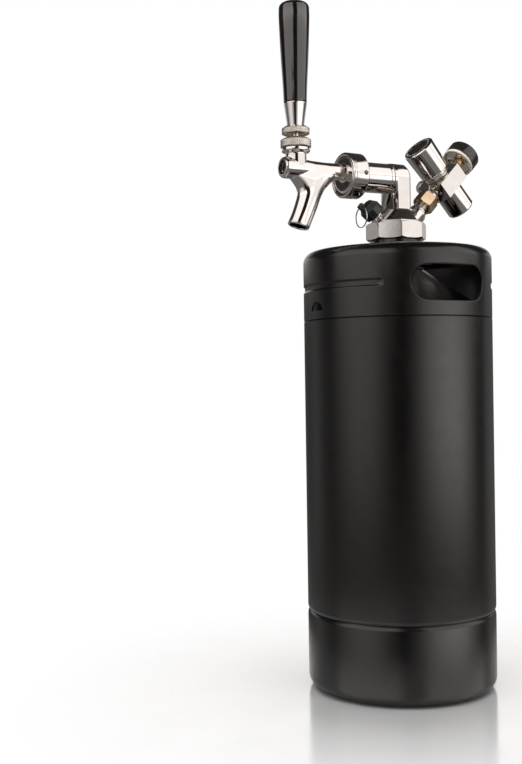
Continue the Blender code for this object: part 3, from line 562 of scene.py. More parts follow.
def keg_vessel():
    seam, groove, wall = COLLAR_LOW - 0.3, SKIRT_HIGH + 0.3, 1.2
    knuckle, shoulder_z, shoulder_r = 8.0, COLLAR_LOW + 0.95, 64.9
    foot, foot_r, foot_z = 10.0, 61.6, 58.0
    dish = (foot_r + foot * math.cos(math.radians(60))) / math.sin(math.radians(30))
    centre = foot_z - foot * math.sin(math.radians(60)) + dish * math.cos(math.radians(30))
    outside = [(20.4, 332.3)] + arc(shoulder_r, shoulder_z, knuckle, 56, 0, 12)
    outside += [(shoulder_r + knuckle, seam), (RADIUS - 0.4, seam), (RADIUS, seam - 0.4)]
    outside += [(RADIUS, groove + 3.2), (RADIUS - 0.25, groove + 2.0), (RADIUS - 1.5, groove)]
    outside += [(foot_r + foot, groove)] + arc(foot_r, foot_z, foot, 0, -60, 10)
    outside += arc(0, centre, dish, -68, -89, 16) + [(0.0, centre - dish)]
    inside = [(0.0, centre - dish + wall)] + arc(0, centre, dish - wall, -89, -68, 12)
    inside += arc(foot_r, foot_z, foot - wall, -60, 0, 8)
    inside += [(foot_r + foot - wall, groove + 1.2), (RADIUS - wall, groove + 3.9)]
    inside += [(RADIUS - wall, seam - 3.3), (shoulder_r + knuckle - wall, seam - 1.2)]
    inside += arc(shoulder_r, shoulder_z, knuckle - wall, 0, 56, 8) + [(20.4, 332.3 - wall * 1.2)]
    shell = lathe("keg_shell", UPRIGHT, inside + outside, "coat", 192, soft=0.0)
    stand_for(shell, "keg", "keg_vessel")

    # The weld bead where the neck meets the dome.
    path = [KEG_AXIS + point for point in circle(21.0, 332.2, 120)]
    ripple = lambda t: 0.9 + 0.12 * math.sin(t * 2 * math.pi * 60)
    tube("neck_weld", HERE, path, ripple, "weld", "keg", 10, True)


def keg_skirt():
    wall, fillet, seam = 1.6, 9.5, SKIRT_HIGH
    foot_r, curl_r, curl = RADIUS - fillet, RADIUS - fillet - 3.5, 4.0
    outline = [
        (RADIUS - 1.6, seam), (RADIUS - 0.9, seam - 0.9), (RADIUS - 0.25, seam - 2.2), (RADIUS, seam - 3.6),
    ]
    outline += arc(foot_r, fillet, fillet, 0, -90, 16) + arc(curl_r, curl, curl, -90, -180, 8)
    outline += [(curl_r - curl, curl + 2.0), (curl_r - curl + wall, curl + 2.0)]
    outline += arc(curl_r, curl, curl - wall, -180, -90, 6)
    outline += arc(foot_r, fillet, fillet - wall, -90, 0, 12)
    outline += [(RADIUS - wall, seam - 3.6), (RADIUS - 2.9, seam - 0.9), (RADIUS - 2.9, seam)]
    skirt = lathe("foot_skirt", UPRIGHT, outline, "coat", 192, soft=0.0)
    stand_for(skirt, "keg", "bottom_skirt")


def keg_neck():
    outline = [
        (14.9, 329.5), (20.1, 329.5), (20.1, 345.0), (21.2, 345.6), (21.2, 352.4), (20.0, 353.0),
        (20.0, 355.7),
    ]
    for foot in (356.0 + 1.3 * i for i in range(4)):
        outline += [(19.2, foot), (18.7, foot + 0.3), (18.7, foot + 0.7), (19.2, foot + 1.0)]
    outline += [(19.2, 361.5), (14.9, 361.5)]
    neck = lathe("threaded_neck", UPRIGHT, outline, "coat", 96, soft=0.25)
    stand_for(neck, "keg", "neck_boss")


# -------- head

NUT_LOW, NUT_HIGH = (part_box("collar_nut")[i][2] / MM for i in (0, 1))
HEAD_LOW, HEAD_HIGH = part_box("head_body")[0][2] / MM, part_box("tap_post")[0][2] / MM - 0.3
NUT_R = 24.5


def head_nut():
    low, high = NUT_LOW, NUT_HIGH
    nut = prism("octagon_nut", UPRIGHT, polygon(8, NUT_R, 22.5), low, high, "chrome")
    ends = [
        (0, low), (NUT_R - 1.6, low), (NUT_R + 0.3, low + 1.3), (NUT_R + 0.3, high - 1.5),
        (NUT_R - 1.9, high), (0, high),
    ]
    chamfer = lathe("cut_chamfer", UPRIGHT, ends, soft=0.2)
    settle(combine(nut, "INTERSECT", chamfer), chamfer)
    thread = rod("cut_thread", UPRIGHT, 19.8, low - 5, 365.7)
    cut(nut, thread, rod("cut_throat", UPRIGHT, 15.3, 360, high + 5))
    edged(nut, 0.45, 3, 25)
    stand_for(nut, "collar_nut", "collar_nut")


def head_cone():
    base, top, wide, narrow = HEAD_LOW, HEAD_HIGH, 20.2, 13.0
    mesh = bmesh.new()
    steps = ((wide, base), (wide, base + 1.0), (narrow + 0.4, top - 0.6), (narrow, top))
    rings = [[mesh.verts.new(Vector((x, y, z)) * MM) for x, y in polygon(8, r, 22.5)] for r, z in steps]
    for here, there in zip(rings, rings[1:]):
        for j in range(8):
            mesh.faces.new((here[j], here[(j + 1) % 8], there[(j + 1) % 8], there[j]))
    mesh.faces.new(rings[0])
    mesh.faces.new(rings[-1])
    head = show("head_cone", mesh, UPRIGHT, "chrome")
    boss = [(0, -10), (8.0, -10), (8.0, 0.1), (7.4, 0.8), (0, 0.8)]
    gas_boss = lathe("add_gas", NIPPLE_AXIS, boss, sides=64)
    join(head, gas_boss, rod("add_relief", RELIEF_AXIS, 4.6, -8.0, 3.8))
    low_half = rod("cut_under", UPRIGHT, 60, 340, base)
    bore = rod("cut_bore", UPRIGHT, 8.8, base - 5, 376.6)
    relief = rod("cut_relief", RELIEF_AXIS, 3.6, 0.8, 6.0)
    cut(head, low_half, bore, relief, rod("cut_gas", NIPPLE_AXIS, 4.3, -7.0, 4.0))
    edged(head, 0.4, 3, 20)
    stand_for(head, "tap_head", "head_body")


def post():
    half, front, thick = 12.4, 6.5, 14.1
    low = HEAD_HIGH + 0.3 - TAP_Z
    place = axes(ahead(front, TAP_Z), Y, -X)
    sections = [
        (0.0, 1.7), (0.3, 1.0), (0.8, 0.4), (1.6, 0.0), (thick - 3.0, 0.0), (thick - 0.9, 1.3),
        (thick - 0.3, 1.8), (thick, 2.4),
    ]
    loops = []
    for depth, inset in sections:
        outline = [(half - inset, low)] + arc(0, 0, half - inset, 0, 180, 48) + [(inset - half, low)]
        loops.append([place @ Vector((x * MM, y * MM, depth * MM)) / MM for x, y in outline])
    made = skin("arched_post", HERE, loops, "chrome")
    edge = [
        (0, 0), (half - 0.15, 0), (half - 0.15, front + 0.9), (half - 0.5, front + 1.2), (0, front + 1.2),
    ]
    flange = lathe("add_flange", TAP_AXIS, edge, soft=0.2)
    join(made, flange)
    cut(made, rod("cut_rise", UPRIGHT, 3.6, 370, TAP_Z), rod("cut_outlet", TAP_AXIS, 5.2, -2, front + 5))
    weighted = made.modifiers.new("flat_faces", "WEIGHTED_NORMAL")
    weighted.keep_sharp = True
    settle(made)
    shade(made, 40)
    stand_for(made, "tap_head", "tap_post")


# -------- tap

BULB_FRONT = KEG_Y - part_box("faucet_body")[0][1] / MM
SPOUT_SECTIONS = [
    (75.2, 407.6, 24.0, 6.7, 0.0), (74.8, 402.7, 24.3, 7.4, 0.0), (77.4, 400.0, 19.6, 7.8, 0.0),
    (78.1, 396.2, 15.2, 8.0, 0.0), (79.0, 391.5, 11.3, 8.2, 3.0), (80.4, 386.0, 9.4, 8.4, 8.0),
    (82.7, 379.5, 8.9, 8.4, 15.0), (86.3, 371.0, 8.5, 8.3, 20.0), (89.7, 363.7, 8.6, 8.5, 18.0),
]
SPOUT_BORE = [(91.6, 358.0), (89.7, 363.7), (86.3, 371.0), (82.7, 379.5), (80.0, 386.0)]


def smooth_rows(rows, per_span):
    """Rows of numbers along a Catmull-Rom curve through ROWS."""
    made = []
    for i in range(len(rows) - 1):
        ends = [rows[max(i - 1, 0)], rows[i], rows[i + 1], rows[min(i + 2, len(rows) - 1)]]
        for j in range(per_span):
            t = j / per_span
            weights = (-t + 2 * t**2 - t**3, 2 - 5 * t**2 + 3 * t**3, t + 4 * t**2 - 3 * t**3, t**3 - t**2)
            made.append([sum(w * row[n] for w, row in zip(weights, ends)) / 2 for n in range(len(rows[0]))])
    return made + [list(rows[-1])]


def spout_loop(section, sides):
    s, z, half_length, half_width, turn = section
    forward = -Y * math.cos(math.radians(turn)) + Z * math.sin(math.radians(turn))
    angles = (2 * math.pi * i / sides for i in range(sides))
    return [ahead(s, z) + forward * half_length * math.cos(a) + X * half_width * math.sin(a) for a in angles]


def faucet():
    front = BULB_FRONT
    barrel = [
        (0.0, 45.0), (6.9, 45.0), (6.4, 52.0), (6.2, 66.0), (6.7, 79.0), (7.6, 86.0), (8.2, 92.0),
        (8.3, front - 1.6), (7.1, front), (0.0, front),
    ]
    body = lathe("faucet_casting", BARREL_AXIS, barrel, "chrome", 96, soft=1.6)
    neck = [
        (0.0, BARREL_Z), (8.3, BARREL_Z), (8.3, 418.4), (8.8, 419.3), (11.0, 419.8), (11.0, 422.9),
        (0.0, 422.9),
    ]
    flange = [(0.0, 41.2), (14.6, 41.2), (14.6, 48.2), (13.8, 48.9), (0.0, 48.9)]
    collar = lathe("add_collar", TAP_AXIS, flange, soft=0.5)
    sections = smooth_rows(SPOUT_SECTIONS, 5)
    spout = skin("add_spout", HERE, [spout_loop(row, 72) for row in sections])
    join(body, collar, lathe("add_neck", LEVER_AXIS, neck, soft=0.6), spout)
    cast(body, 0.36, 11)
    path = [ahead(s, z) for s, z in smooth_rows(SPOUT_BORE, 4)]
    bore = tube("cut_spout", HERE, path, 6.6, sides=48)
    cut(
        body, bore, rod("cut_seat", BARREL_AXIS, 5.3, 36.0, 52.0),
        rod("cut_shaft", BARREL_AXIS, 4.0, 50.0, 83.0),
        rod("cut_front", BARREL_AXIS, 5.2, 80.6, front + 1.0),
        rod("cut_mouth", BARREL_AXIS, 5.6, front - 3.4, front + 5),
        rod("cut_lever", LEVER_AXIS, 5.4, BARREL_Z + 0.4, 425.0),
        rod("cut_washer", LEVER_AXIS, 7.6, 423.1, 430.0),
        block("cut_swing", LEVER_AXIS, (-2.6, 0.7, 409.1), (2.6, 6.5, 414.4)),
    )
    shade(body, 50)
    stand_for(body, "tap_head", "faucet_body")

    tip = spout_loop((89.7, 363.7, 7.6, 7.55, 18.0), 64)
    tube("spout_rim", HERE, tip, 0.95, "chrome", "tap_head", 12, closed=True)
    plug = [
        (0.0, 98.6), (3.0, 98.6), (3.0, 99.4), (4.3, 99.4), (4.3, 98.4), (5.1, 98.4), (5.1, 95.8),
        (0.0, 95.8),
    ]
    # The plug takes the darker copy of the chrome, which paints the shade of the mouth it sits in.
    made = lathe("faucet_plug", BARREL_AXIS, plug, "chrome_shaded", 64, soft=0.25)
    stand_for(made, "tap_head", "front_plug")
    edge = circle(6.6, front - 0.95, 64)
    tube("plug_bezel", BARREL_AXIS, edge, 0.95, "chrome", "tap_head", 12, closed=True)


def shank():
    start, back, front, radius = 8.0, 34.5, 49.6, 17.8
    flange = back + 2.4
    outline = [
        (5.2, start), (11.9, start), (11.9, start + 2.2), (11.6, start + 2.5), (11.6, start + 2.9),
        (11.9, start + 3.2), (11.9, flange), (14.3, flange), (14.3, flange + 2.5), (5.2, flange + 2.5),
    ]
    turned_part("smooth_shank", TAP_AXIS, outline, "chrome", "tap_head", "shank")
    outline = [
        (12.3, back), (radius - 1.6, back), (radius, back + 1.6), (radius, front - 3.0),
        (radius - 0.35, front - 2.7), (radius - 0.35, front - 2.2), (radius, front - 1.9),
        (radius, front - 0.9), (radius - 0.9, front), (15.6, front), (15.0, front - 0.7),
        (15.0, back + 2.1), (12.3, back + 2.1),
    ]
    nut = lathe("spanner_nut", TAP_AXIS, outline, "chrome", 128, soft=0.35)
    cutters = []
    for side, direction in (("across", X), ("upright", Z)):
        where = axes(ahead(back + 4.3, TAP_Z), direction, Y)
        cutters.append(rod("cut_" + side, where, 1.9, -radius - 5, radius + 5, sides=32))
    cut(nut, *cutters)
    bevel = nut.modifiers.new("rounded_edges", "BEVEL")
    bevel.width, bevel.segments = 0.15 * MM, 2
    bevel.limit_method, bevel.angle_limit = "ANGLE", math.radians(60)
    settle(nut)
    shade(nut, 35)
    stand_for(nut, "tap_head", "coupling_nut")


def knurl(count, pitch, depth, band_low, band_high):
    """A diamond knurl COUNT diamonds round, in the band of heights."""
    def shift(angle, r, h):
        if not band_low <= h <= band_high:
            return 0.0
        turn, rise = angle * count / (2 * math.pi), (h - band_low) / pitch
        lines = [abs(((value) % 1.0) - 0.5) * 2 for value in (turn + rise, turn - rise)]
        return -depth * max(0.0, max(lines) * 1.6 - 0.6)
    return shift


def knurled(name, outline_low, outline_high, radius, band_low, band_high, count, body, slot):
    rows = int((band_high - band_low) / 0.16)
    band = [(radius, band_low + (band_high - band_low) * i / rows) for i in range(rows + 1)]
    outline = outline_low + band + outline_high
    pitch = 2 * math.pi * radius / count * 1.15
    made = lathe(
        name, LEVER_AXIS, outline, "nickel", count * 5, soft=0.0,
        shift=knurl(count, pitch, 0.28, band_low + 0.01, band_high - 0.01),
    )
    stand_for(made, body, slot)


def lever():
    low_end = [(9.3, 427.9), (9.3, 423.2), (11.4, 423.2), (11.65, 423.4)]
    high_end = [(11.65, 428.95), (11.2, 429.35), (8.6, 430.55), (8.2, 430.6), (6.95, 427.9)]
    knurled("knurled_bonnet", low_end, high_end, 11.8, 423.55, 428.8, 56, "tap_head", "bonnet")
    low_end = [(3.2, 439.3), (3.2, 433.5), (10.2, 433.5), (10.5, 433.7)]
    high_end = [(10.5, 437.9), (8.6, 439.15), (8.3, 439.3)]
    knurled("knurled_lock_nut", low_end, high_end, 10.7, 433.85, 437.75, 52, "lever", "lever_lock_nut")
    outline = [
        (0.0, 469.0), (5.9, 469.0), (5.9, 457.3), (8.8, 457.3), (9.1, 457.0), (9.1, 456.5), (6.6, 440.2),
        (6.5, 439.6), (3.2, 439.6), (3.2, 454.0), (0.0, 454.0),
    ]
    turned_part("handle_collar", LEVER_AXIS, outline, "chrome", "lever", "handle_ferrule", 96, 0.15)
    top = HANDLE_TOP
    outline = [(0.0, top), (4.0, top - 0.15), (6.6, top - 0.7)] + arc(7.3, top - 5.2, 4.5, 78, 0, 8)
    outline += [
        (11.9, 524.5), (11.85, 521.0), (11.5, 512.0), (11.1, 501.0), (10.5, 488.0), (9.8, 477.0),
        (9.3, 468.0), (8.95, 458.4), (8.75, 457.6), (6.2, 457.6), (6.2, 470.0), (0.0, 470.0),
    ]
    turned_part("tapered_handle", LEVER_AXIS, outline, "handle", "lever", "tap_handle", 96, 0.8)
    tip, ball, up = 2.7, 5.0, PIVOT_Z
    outline = [(0.0, BARREL_Z - tip)] + arc(0, BARREL_Z, tip, -80, 56, 12)[1:]
    outline += [(1.5, BARREL_Z + 4.6), (1.9, BARREL_Z + 5.6)] + arc(0, up, ball, -67, 61, 20)
    outline += [(2.6, up + 8.0), (2.8, up + 13.0), (2.8, 452.0), (0.0, 452.0)]
    turned_part("ball_lever", LEVER_AXIS, outline, "chrome", "lever", "tap_lever", 64, 0.0)


# -------- relief valve


def relief_valve():
    body = [
        (1.9, 1.2), (3.3, 1.2), (3.3, 4.2), (5.8, 4.2), (5.8, 6.0), (5.5, 6.3), (5.5, 6.8), (5.8, 7.1),
        (5.8, 12.2), (1.8, 12.2), (1.8, 11.0), (4.3, 11.0), (4.3, 5.2), (1.9, 5.2),
    ]
    turned_part("relief_housing", RELIEF_AXIS, body, "chrome", "tap_head", "relief_body", 64)
    low, shoulder, top = 5.7, 12.8, 17.0
    cap = [(0.0, 15.3), (6.8, 15.3), (6.8, low), (8.5, low), (8.5, shoulder), (5.5, top), (0.0, top)]
    made = lathe("faceted_cap", RELIEF_AXIS, cap, "plastic", 10, start=18.0, soft=0.0)
    pivot = RELIEF_AXIS.inverted() @ (RING_POINT * MM)
    lug_y, lug_d = pivot.y / MM, pivot.z / MM
    lug = block("add_lug", RELIEF_AXIS, (-1.6, lug_y - 2.2, 15.8), (1.6, lug_y + 2.2, lug_d + 2.2))
    join(made, lug)
    cut(made, rod("cut_ring_hole", axes(RING_POINT, X, Y), 1.15, -5, 5, sides=32))
    edged(made, 0.35, 3, 20)
    stand_for(made, "relief_plunger", "relief_cap")

    radius, turns, steps, wire = 8.2, 2, 72, 0.34
    where = axes(RING_POINT, Z, X)
    path = []
    for i in range(turns * steps + 1):
        angle = 2 * math.pi * i / steps
        side = (i / (turns * steps) - 0.5) * 2 * (wire + 0.02)
        path.append(Vector((radius * math.sin(angle), side, radius * (math.cos(angle) - 1))))
    ring = tube("split_ring", where, path, wire, "wire", sides=12)
    stand_for(ring, "pull_ring", "pull_ring")


# -------- regulator


def gas_connection():
    nipple = [(2.2, -6.0), (4.0, -6.0), (4.0, 1.1), (7.0, 1.1), (7.0, 2.6)]
    for i in range(4):
        foot = 2.8 + 2.05 * i
        nipple += [(4.9, foot), (6.05, foot + 0.8), (6.05, foot + 1.15), (4.9, foot + 1.85)]
    nipple += [(5.2, 11.4), (2.2, 11.4)]
    turned_part("ridged_nipple", NIPPLE_AXIS, nipple, "satin", "tap_head", "gas_nipple", 64, 0.12)
    corner, low, high = 9.1, 8.4, 19.0
    nut = prism("hex_nut", NIPPLE_AXIS, polygon(6, corner), low, high, "brass")
    outline = [
        (0, low), (corner - 1.0, low), (corner + 0.2, low + 0.75), (corner + 0.2, high - 0.75),
        (corner - 1.0, high), (0, high),
    ]
    ends = lathe("cut_ends", NIPPLE_AXIS, outline, sides=64, soft=0.1)
    settle(combine(nut, "INTERSECT", ends), ends)
    cut(nut, rod("cut_thread", NIPPLE_AXIS, 6.3, 4.0, 14.9), rod("cut_throat", NIPPLE_AXIS, 4.2, 13.0, 24.0))
    edged(nut, 0.3, 3, 25)
    stand_for(nut, "tap_head", "gas_nut")


def regulator():
    mid, half, low_k, high_k = 40.0, 14.0, -8.0, 6.5
    low, high = 22.2 - mid, 56.5 - mid
    outline = [
        (low, -half + 8.5), (low + 4.5, -half), (high - 3.5, -half), (high, -half + 6.5),
        (high, half - 6.5), (high - 3.5, half), (low + 4.5, half), (low, half - 8.5),
    ]
    body = prism("regulator_block", KNOB_AXIS, outline, low_k, high_k, "chrome")
    corner_middle = Vector((low + 2.25, -half + 4.25, -1.0))
    chamfer = Vector((-8.5, -4.5, 0)).normalized()
    plug_place = KNOB_AXIS @ axes(corner_middle, chamfer, Z)
    cut(
        body, rod("cut_seat", KNOB_AXIS, 9.1, -0.5, high_k + 5), rod("cut_bore", KNOB_AXIS, 1.9, -5.0, 1.0),
        rod("cut_chamber", KNOB_AXIS, 4.5, low_k - 5, -3.5),
        rod("cut_inlet", NIPPLE_AXIS, 1.4, 15.0, mid - 3.0),
        rod("cut_gauge", NIPPLE_AXIS, 1.4, mid + 3.0, 62.0),
        rod("cut_side", SIDE_VALVE_AXIS, 1.4, 3.0, 20.0), rod("cut_plug", plug_place, 1.6, -2.0, 5.0),
    )
    edged(body, 0.55, 4, 20)
    stand_for(body, "tap_head", "regulator_body")
    pin = [(0, -1.6), (1.3, -1.6), (1.3, 0.4), (0, 0.4)]
    plug = lathe("screw_plug", plug_place, pin, "steel", 48, soft=0.25)
    cut(plug, prism("cut_key", plug_place, polygon(6, 0.75), -0.5, 3.0))
    stand_for(plug, "tap_head", "port_plug")

    bonnet = [
        (7.0, 0.9), (8.7, 0.9), (8.7, 6.8), (10.5, 6.8), (10.5, 8.3), (9.9, 8.7), (9.9, 9.3), (10.5, 9.7),
        (10.5, 11.2), (8.3, 11.2), (8.3, 24.0), (3.3, 24.0), (3.3, 22.0), (6.4, 22.0), (6.4, 2.6),
        (7.0, 2.6),
    ]
    turned_part("bonnet_ring", KNOB_AXIS, bonnet, "satin", "tap_head", "regulator_bonnet")


def knob():
    radius = 13.2
    outline = [
        (0.0, 30.6), (3.3, 30.6), (3.3, 25.0), (5.6, 25.0), (5.6, 30.6), (10.9, 30.6), (10.9, 11.6),
        (12.0, 11.6), (12.2, 12.2), (12.95, 30.0), (radius, 35.3), (radius, 35.7), (radius - 0.8, 36.6),
        (11.7, 36.6), (11.7, 34.8), (0.0, 34.8),
    ]
    turned_part("chrome_knob", KNOB_AXIS, outline, "chrome", "knob", "adjusting_knob", 128, 0.5)
    face = [
        (0.0, 35.1), (11.4, 35.1), (11.4, 36.7), (11.2, 36.9), (8.9, 36.9), (8.7, 36.7), (8.45, 36.1),
        (0.0, 36.0),
    ]
    turned_part("knob_face", KNOB_AXIS, face, "handle", "knob", "knob_disc", 96, 0.12)
    count, inner, outer, half = 36, 9.2, 10.9, 0.27
    bars = []
    for i in range(count):
        foot = inner if i % 5 == 0 else inner + 0.55
        bars.append((2 * math.pi * i / count, foot, outer, half))
    radial_marks("knob_marks", KNOB_AXIS, "tick", "knob", bars, 36.8, 36.93)


def cartridge_holder():
    top = -8.3
    socket = [(2.4, top), (10.9, top), (11.4, top - 0.5), (11.4, -28.8), (10.6, -30.0), (9.8, -30.0)]
    for i in range(5):
        foot = -29.3 + 1.5 * i
        socket += [(9.8, foot), (10.3, foot + 0.45), (10.3, foot + 0.75), (9.8, foot + 1.2)]
    socket += [(9.8, -21.0), (4.9, -21.0), (4.9, top - 1.0), (2.4, top - 1.0)]
    turned_part("cartridge_cup", KNOB_AXIS, socket, "chrome", "tap_head", "cartridge_socket", 96, 0.2)


def side_valve():
    face = 14.0
    body = [
        (0.0, face + 0.3), (4.5, face + 0.3), (4.5, face + 1.6), (6.0, face + 2.0), (6.0, face + 4.2),
        (5.6, face + 4.5), (5.6, face + 5.0), (6.0, face + 5.3), (6.0, face + 9.0), (5.2, face + 9.8),
        (0.0, face + 9.8),
    ]
    turned_part("side_valve", SIDE_VALVE_AXIS, body, "blasted", "tap_head", "side_valve_body", 64, 0.35)
    cap = [
        (0.0, face + 10.1), (4.2, face + 10.1), (4.2, face + 12.2), (3.4, face + 13.0), (1.4, face + 13.0),
        (1.2, face + 12.5), (0.0, face + 12.5),
    ]
    turned_part("side_cap", SIDE_VALVE_AXIS, cap, "blasted", "tap_head", "side_valve_cap", 64, 0.3)


# -------- gauge


def gauge():
    back, front, radius = 64.0, 77.0, 13.6
    stem = [
        (1.5, 56.8), (4.6, 56.8), (4.6, 58.0), (6.3, 58.4), (6.3, 61.2), (4.6, 61.6), (4.6, back + 2.4),
        (1.5, back + 2.4),
    ]
    turned_part("gauge_neck", NIPPLE_AXIS, stem, "brass", "tap_head", "gauge_stem", 64)
    bezel = [
        (11.6, back + 0.4), (12.2, back), (radius - 0.3, back + 0.2), (radius - 0.1, back + 2.5),
        (11.6, back + 2.5),
    ]
    turned_part("cream_ring", NIPPLE_AXIS, bezel, "cream", "tap_head", "gauge_ring", 128, 0.45)
    case = [
        (0.0, back + 3.4), (4.0, back + 2.8), (5.5, back + 2.3), (9.8, back + 1.2), (11.2, back + 1.4),
        (11.3, back + 2.8), (12.2, back + 2.8), (12.2, front - 1.0), (11.4, front - 1.0),
        (11.4, back + 3.8), (0.0, back + 3.8),
    ]
    turned_part("gauge_shell", NIPPLE_AXIS, case, "chrome", "tap_head", "gauge_case", 128, 0.3)
    boot = [
        (12.5, back + 2.8), (radius, back + 2.8), (radius, front - 0.8), (radius - 0.8, front),
        (12.5, front),
    ]
    turned_part("rubber_boot", NIPPLE_AXIS, boot, "boot", "tap_head", "gauge_boot", 128, 0.5)
    plate = [(0, front - 4.6), (11.1, front - 4.6), (11.1, front - 4.0), (0, front - 4.0)]
    dial = lathe("dial_plate", NIPPLE_AXIS, plate, "enamel", soft=0.1)
    stand_for(dial, "tap_head", "gauge_dial")
    dial_marks(front - 4.0)
    window = [
        (0, front - 2.2), (11.1, front - 2.2), (11.1, front - 1.5), (10.4, front - 0.95), (0, front - 0.9),
    ]
    glass = lathe("gauge_window", NIPPLE_AXIS, window, "lens", soft=0.3)
    stand_for(glass, "tap_head", "gauge_lens")
    outline = [
        (0, front - 3.7), (1.5, front - 3.7), (1.5, front - 2.9), (1.1, front - 2.6), (0, front - 2.6),
    ]
    hub = lathe("needle_hub", NIPPLE_AXIS, outline, "ink", 48, soft=0.2)
    lean = NIPPLE_AXIS @ Matrix.Rotation(math.radians(45), 4, "Z")
    needle = [(-3.0, -0.55), (-3.0, 0.55), (0.0, 0.45), (8.6, 0.16), (9.0, 0.0), (8.6, -0.16), (0.0, -0.45)]
    join(hub, prism("add_needle", lean, needle, front - 3.3, front - 3.0))
    stand_for(hub, "pointer", "gauge_pointer")


def dial_marks(height):
    """A scale of 0 to 60 over 270 degrees clockwise, in ticks and plain numbers."""
    # Seen from the front the pointer rests at 45 degrees below the left and turns clockwise.
    start, sweep, steps, number_r = 45.0, -270.0, 60, 6.3
    bars = []
    for i in range(steps + 1):
        inner = 8.0 if i % 10 == 0 else 8.9 if i % 5 == 0 else 9.3
        bars.append((math.radians(start + sweep * i / steps), inner, 10.0, 0.16 if i % 10 == 0 else 0.09))
    radial_marks("dial_ticks", NIPPLE_AXIS, "ink", "tap_head", bars, height - 0.02, height + 0.04)
    # Numbers stand upright when the gauge is seen from the front, with the scale's gap at the bottom.
    down = math.radians(start)
    up = Vector((-math.cos(down), -math.sin(down), 0))
    for i in range(0, steps + 1, 10):
        angle = math.radians(start + sweep * i / steps)
        text = bpy.data.curves.new(f"dial_number_{i}", "FONT")
        text.body, text.size = str(i), 2.3 * MM
        text.align_x, text.align_y = "CENTER", "CENTER"
        text.extrude = 0.03 * MM
        text.materials.append(LOOKS["ink"])
        made = add(f"dial_number_{i}", text)
        middle = Vector((math.cos(angle) * number_r, math.sin(angle) * number_r, height + 0.03))
        made.matrix_world = NIPPLE_AXIS @ axes(middle, Z, up.cross(Z))
        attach(made, "tap_head")


# -------- springs


def coil_spring(node, where, radius, wire, low, high, turns):
    """A round-wire spring from LOW to HIGH."""
    steps = 40 * turns
    path = []
    for i in range(steps + 1):
        angle = 2 * math.pi * turns * i / steps
        height = low + wire + (high - low - 2 * wire) * i / steps
        path.append(Vector((radius * math.cos(angle), radius * math.sin(angle), height)))
    made = tube("coiled_" + node, where, path, wire, "wire", sides=12)
    stand_for(made, "tap_head", node)
    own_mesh(made)


def springs():
    coil_spring("relief_spring", RELIEF_AXIS, 3.0, 0.35, 7.7, 10.7, 2)
    coil_spring("range_spring", KNOB_AXIS, 4.5, 0.55, 2.6, 14.6, 4)
    coil_spring("poppet_spring", KNOB_AXIS, 2.6, 0.3, -8.0, -5.3, 2)


# -------- carried-over CAD nodes

CARRIED = {
    "head_stem": "chrome", "head_gasket": "rubber", "stem_o_ring": "rubber", "dip_tube": "steel",
    "faucet_gasket": "rubber", "faucet_shaft": "steel", "seat_washer": "rubber", "ball_washer": "plastic",
    "relief_seal": "rubber", "relief_stem": "steel", "nipple_seal": "rubber",
    "gas_tailpiece": "satin", "diaphragm": "rubber", "lower_spring_plate": "steel",
    "upper_spring_plate": "steel", "adjusting_screw": "steel", "poppet": "brass",
    "piercing_pin": "steel", "socket_seal": "rubber",
}


def dress_cad():
    for name, look in CARRIED.items():
        node = frame["nodes"][name]
        node.data.materials.clear()
        node.data.materials.append(LOOKS[look])


# -------- studio


# The camera looks along azimuth 153 degrees from +X. Azimuths round the room are counted from the camera:
# 0 is behind it, and positive is to the picture's right.
VIEW_AZIMUTH = -27.0
CAMERA_LEFT, CAMERA_BACK, CAMERA_UP = 0.1105, 0.880, 0.2476
CAMERA_PITCH, CAMERA_ROLL, CAMERA_LENS, CAMERA_SENSOR = -0.25, -0.85, 51.46, 36
OVERHEAD_ELEVATION, OVERHEAD_DISTANCE, OVERHEAD_SIZE, OVERHEAD_WATTS = 88.0, 1.3, 1.6, 28
AIM_Z = 0.30


def camera():
    """From the right of the front, at two thirds of the keg's height, with the keg right of the middle."""
    turn = math.radians(90 + VIEW_AZIMUTH)
    right = Vector((math.cos(turn), math.sin(turn), 0))
    forward = Vector((-math.sin(turn), math.cos(turn), 0))
    place = KEG_AXIS * MM - right * CAMERA_LEFT - forward * CAMERA_BACK + Z * CAMERA_UP
    data = bpy.data.cameras.new("camera")
    data.lens, data.sensor_width = CAMERA_LENS, CAMERA_SENSOR
    made = add("camera", data)
    tilt = Matrix.Rotation(turn, 4, "Z") @ Matrix.Rotation(math.radians(90 + CAMERA_PITCH), 4, "X")
    made.matrix_world = Matrix.Translation(place) @ tilt @ Matrix.Rotation(math.radians(CAMERA_ROLL), 4, "Z")
    bpy.context.scene.camera = made


FLOOR_SOLID, FLOOR_END = 100.0, 300.0


def floor():
    """A glossy white sheet that fades out at its rim, so that it has no far edge."""
    look = Look("floor_sheet", (0.93, 0.93, 0.93), 0.13, 0.45)
    look.vary_roughness(look.noise(60.0, 3.0), 0.11, 0.16)
    tree = look.tree
    length = tree.nodes.new("ShaderNodeVectorMath")
    length.operation = "LENGTH"
    tree.links.new(look.place, length.inputs[0])
    solid = look.spread(length.outputs["Value"], 1.0, 0.0, FLOOR_SOLID, FLOOR_END)
    clear, mix = tree.nodes.new("ShaderNodeBsdfTransparent"), tree.nodes.new("ShaderNodeMixShader")
    tree.links.new(solid, mix.inputs[0])
    tree.links.new(clear.outputs[0], mix.inputs[1])
    tree.links.new(look.shader.outputs[0], mix.inputs[2])
    tree.links.new(mix.outputs[0], tree.nodes["Material Output"].inputs["Surface"])
    mesh = bmesh.new()
    bmesh.ops.create_circle(mesh, cap_ends=True, segments=128, radius=FLOOR_END * MM)
    bmesh.ops.translate(mesh, verts=mesh.verts, vec=(0, 0, -0.2 * MM))
    data = bpy.data.meshes.new("floor")
    mesh.to_mesh(data)
    mesh.free()
    data.materials.append(look.material)
    add("floor", data)


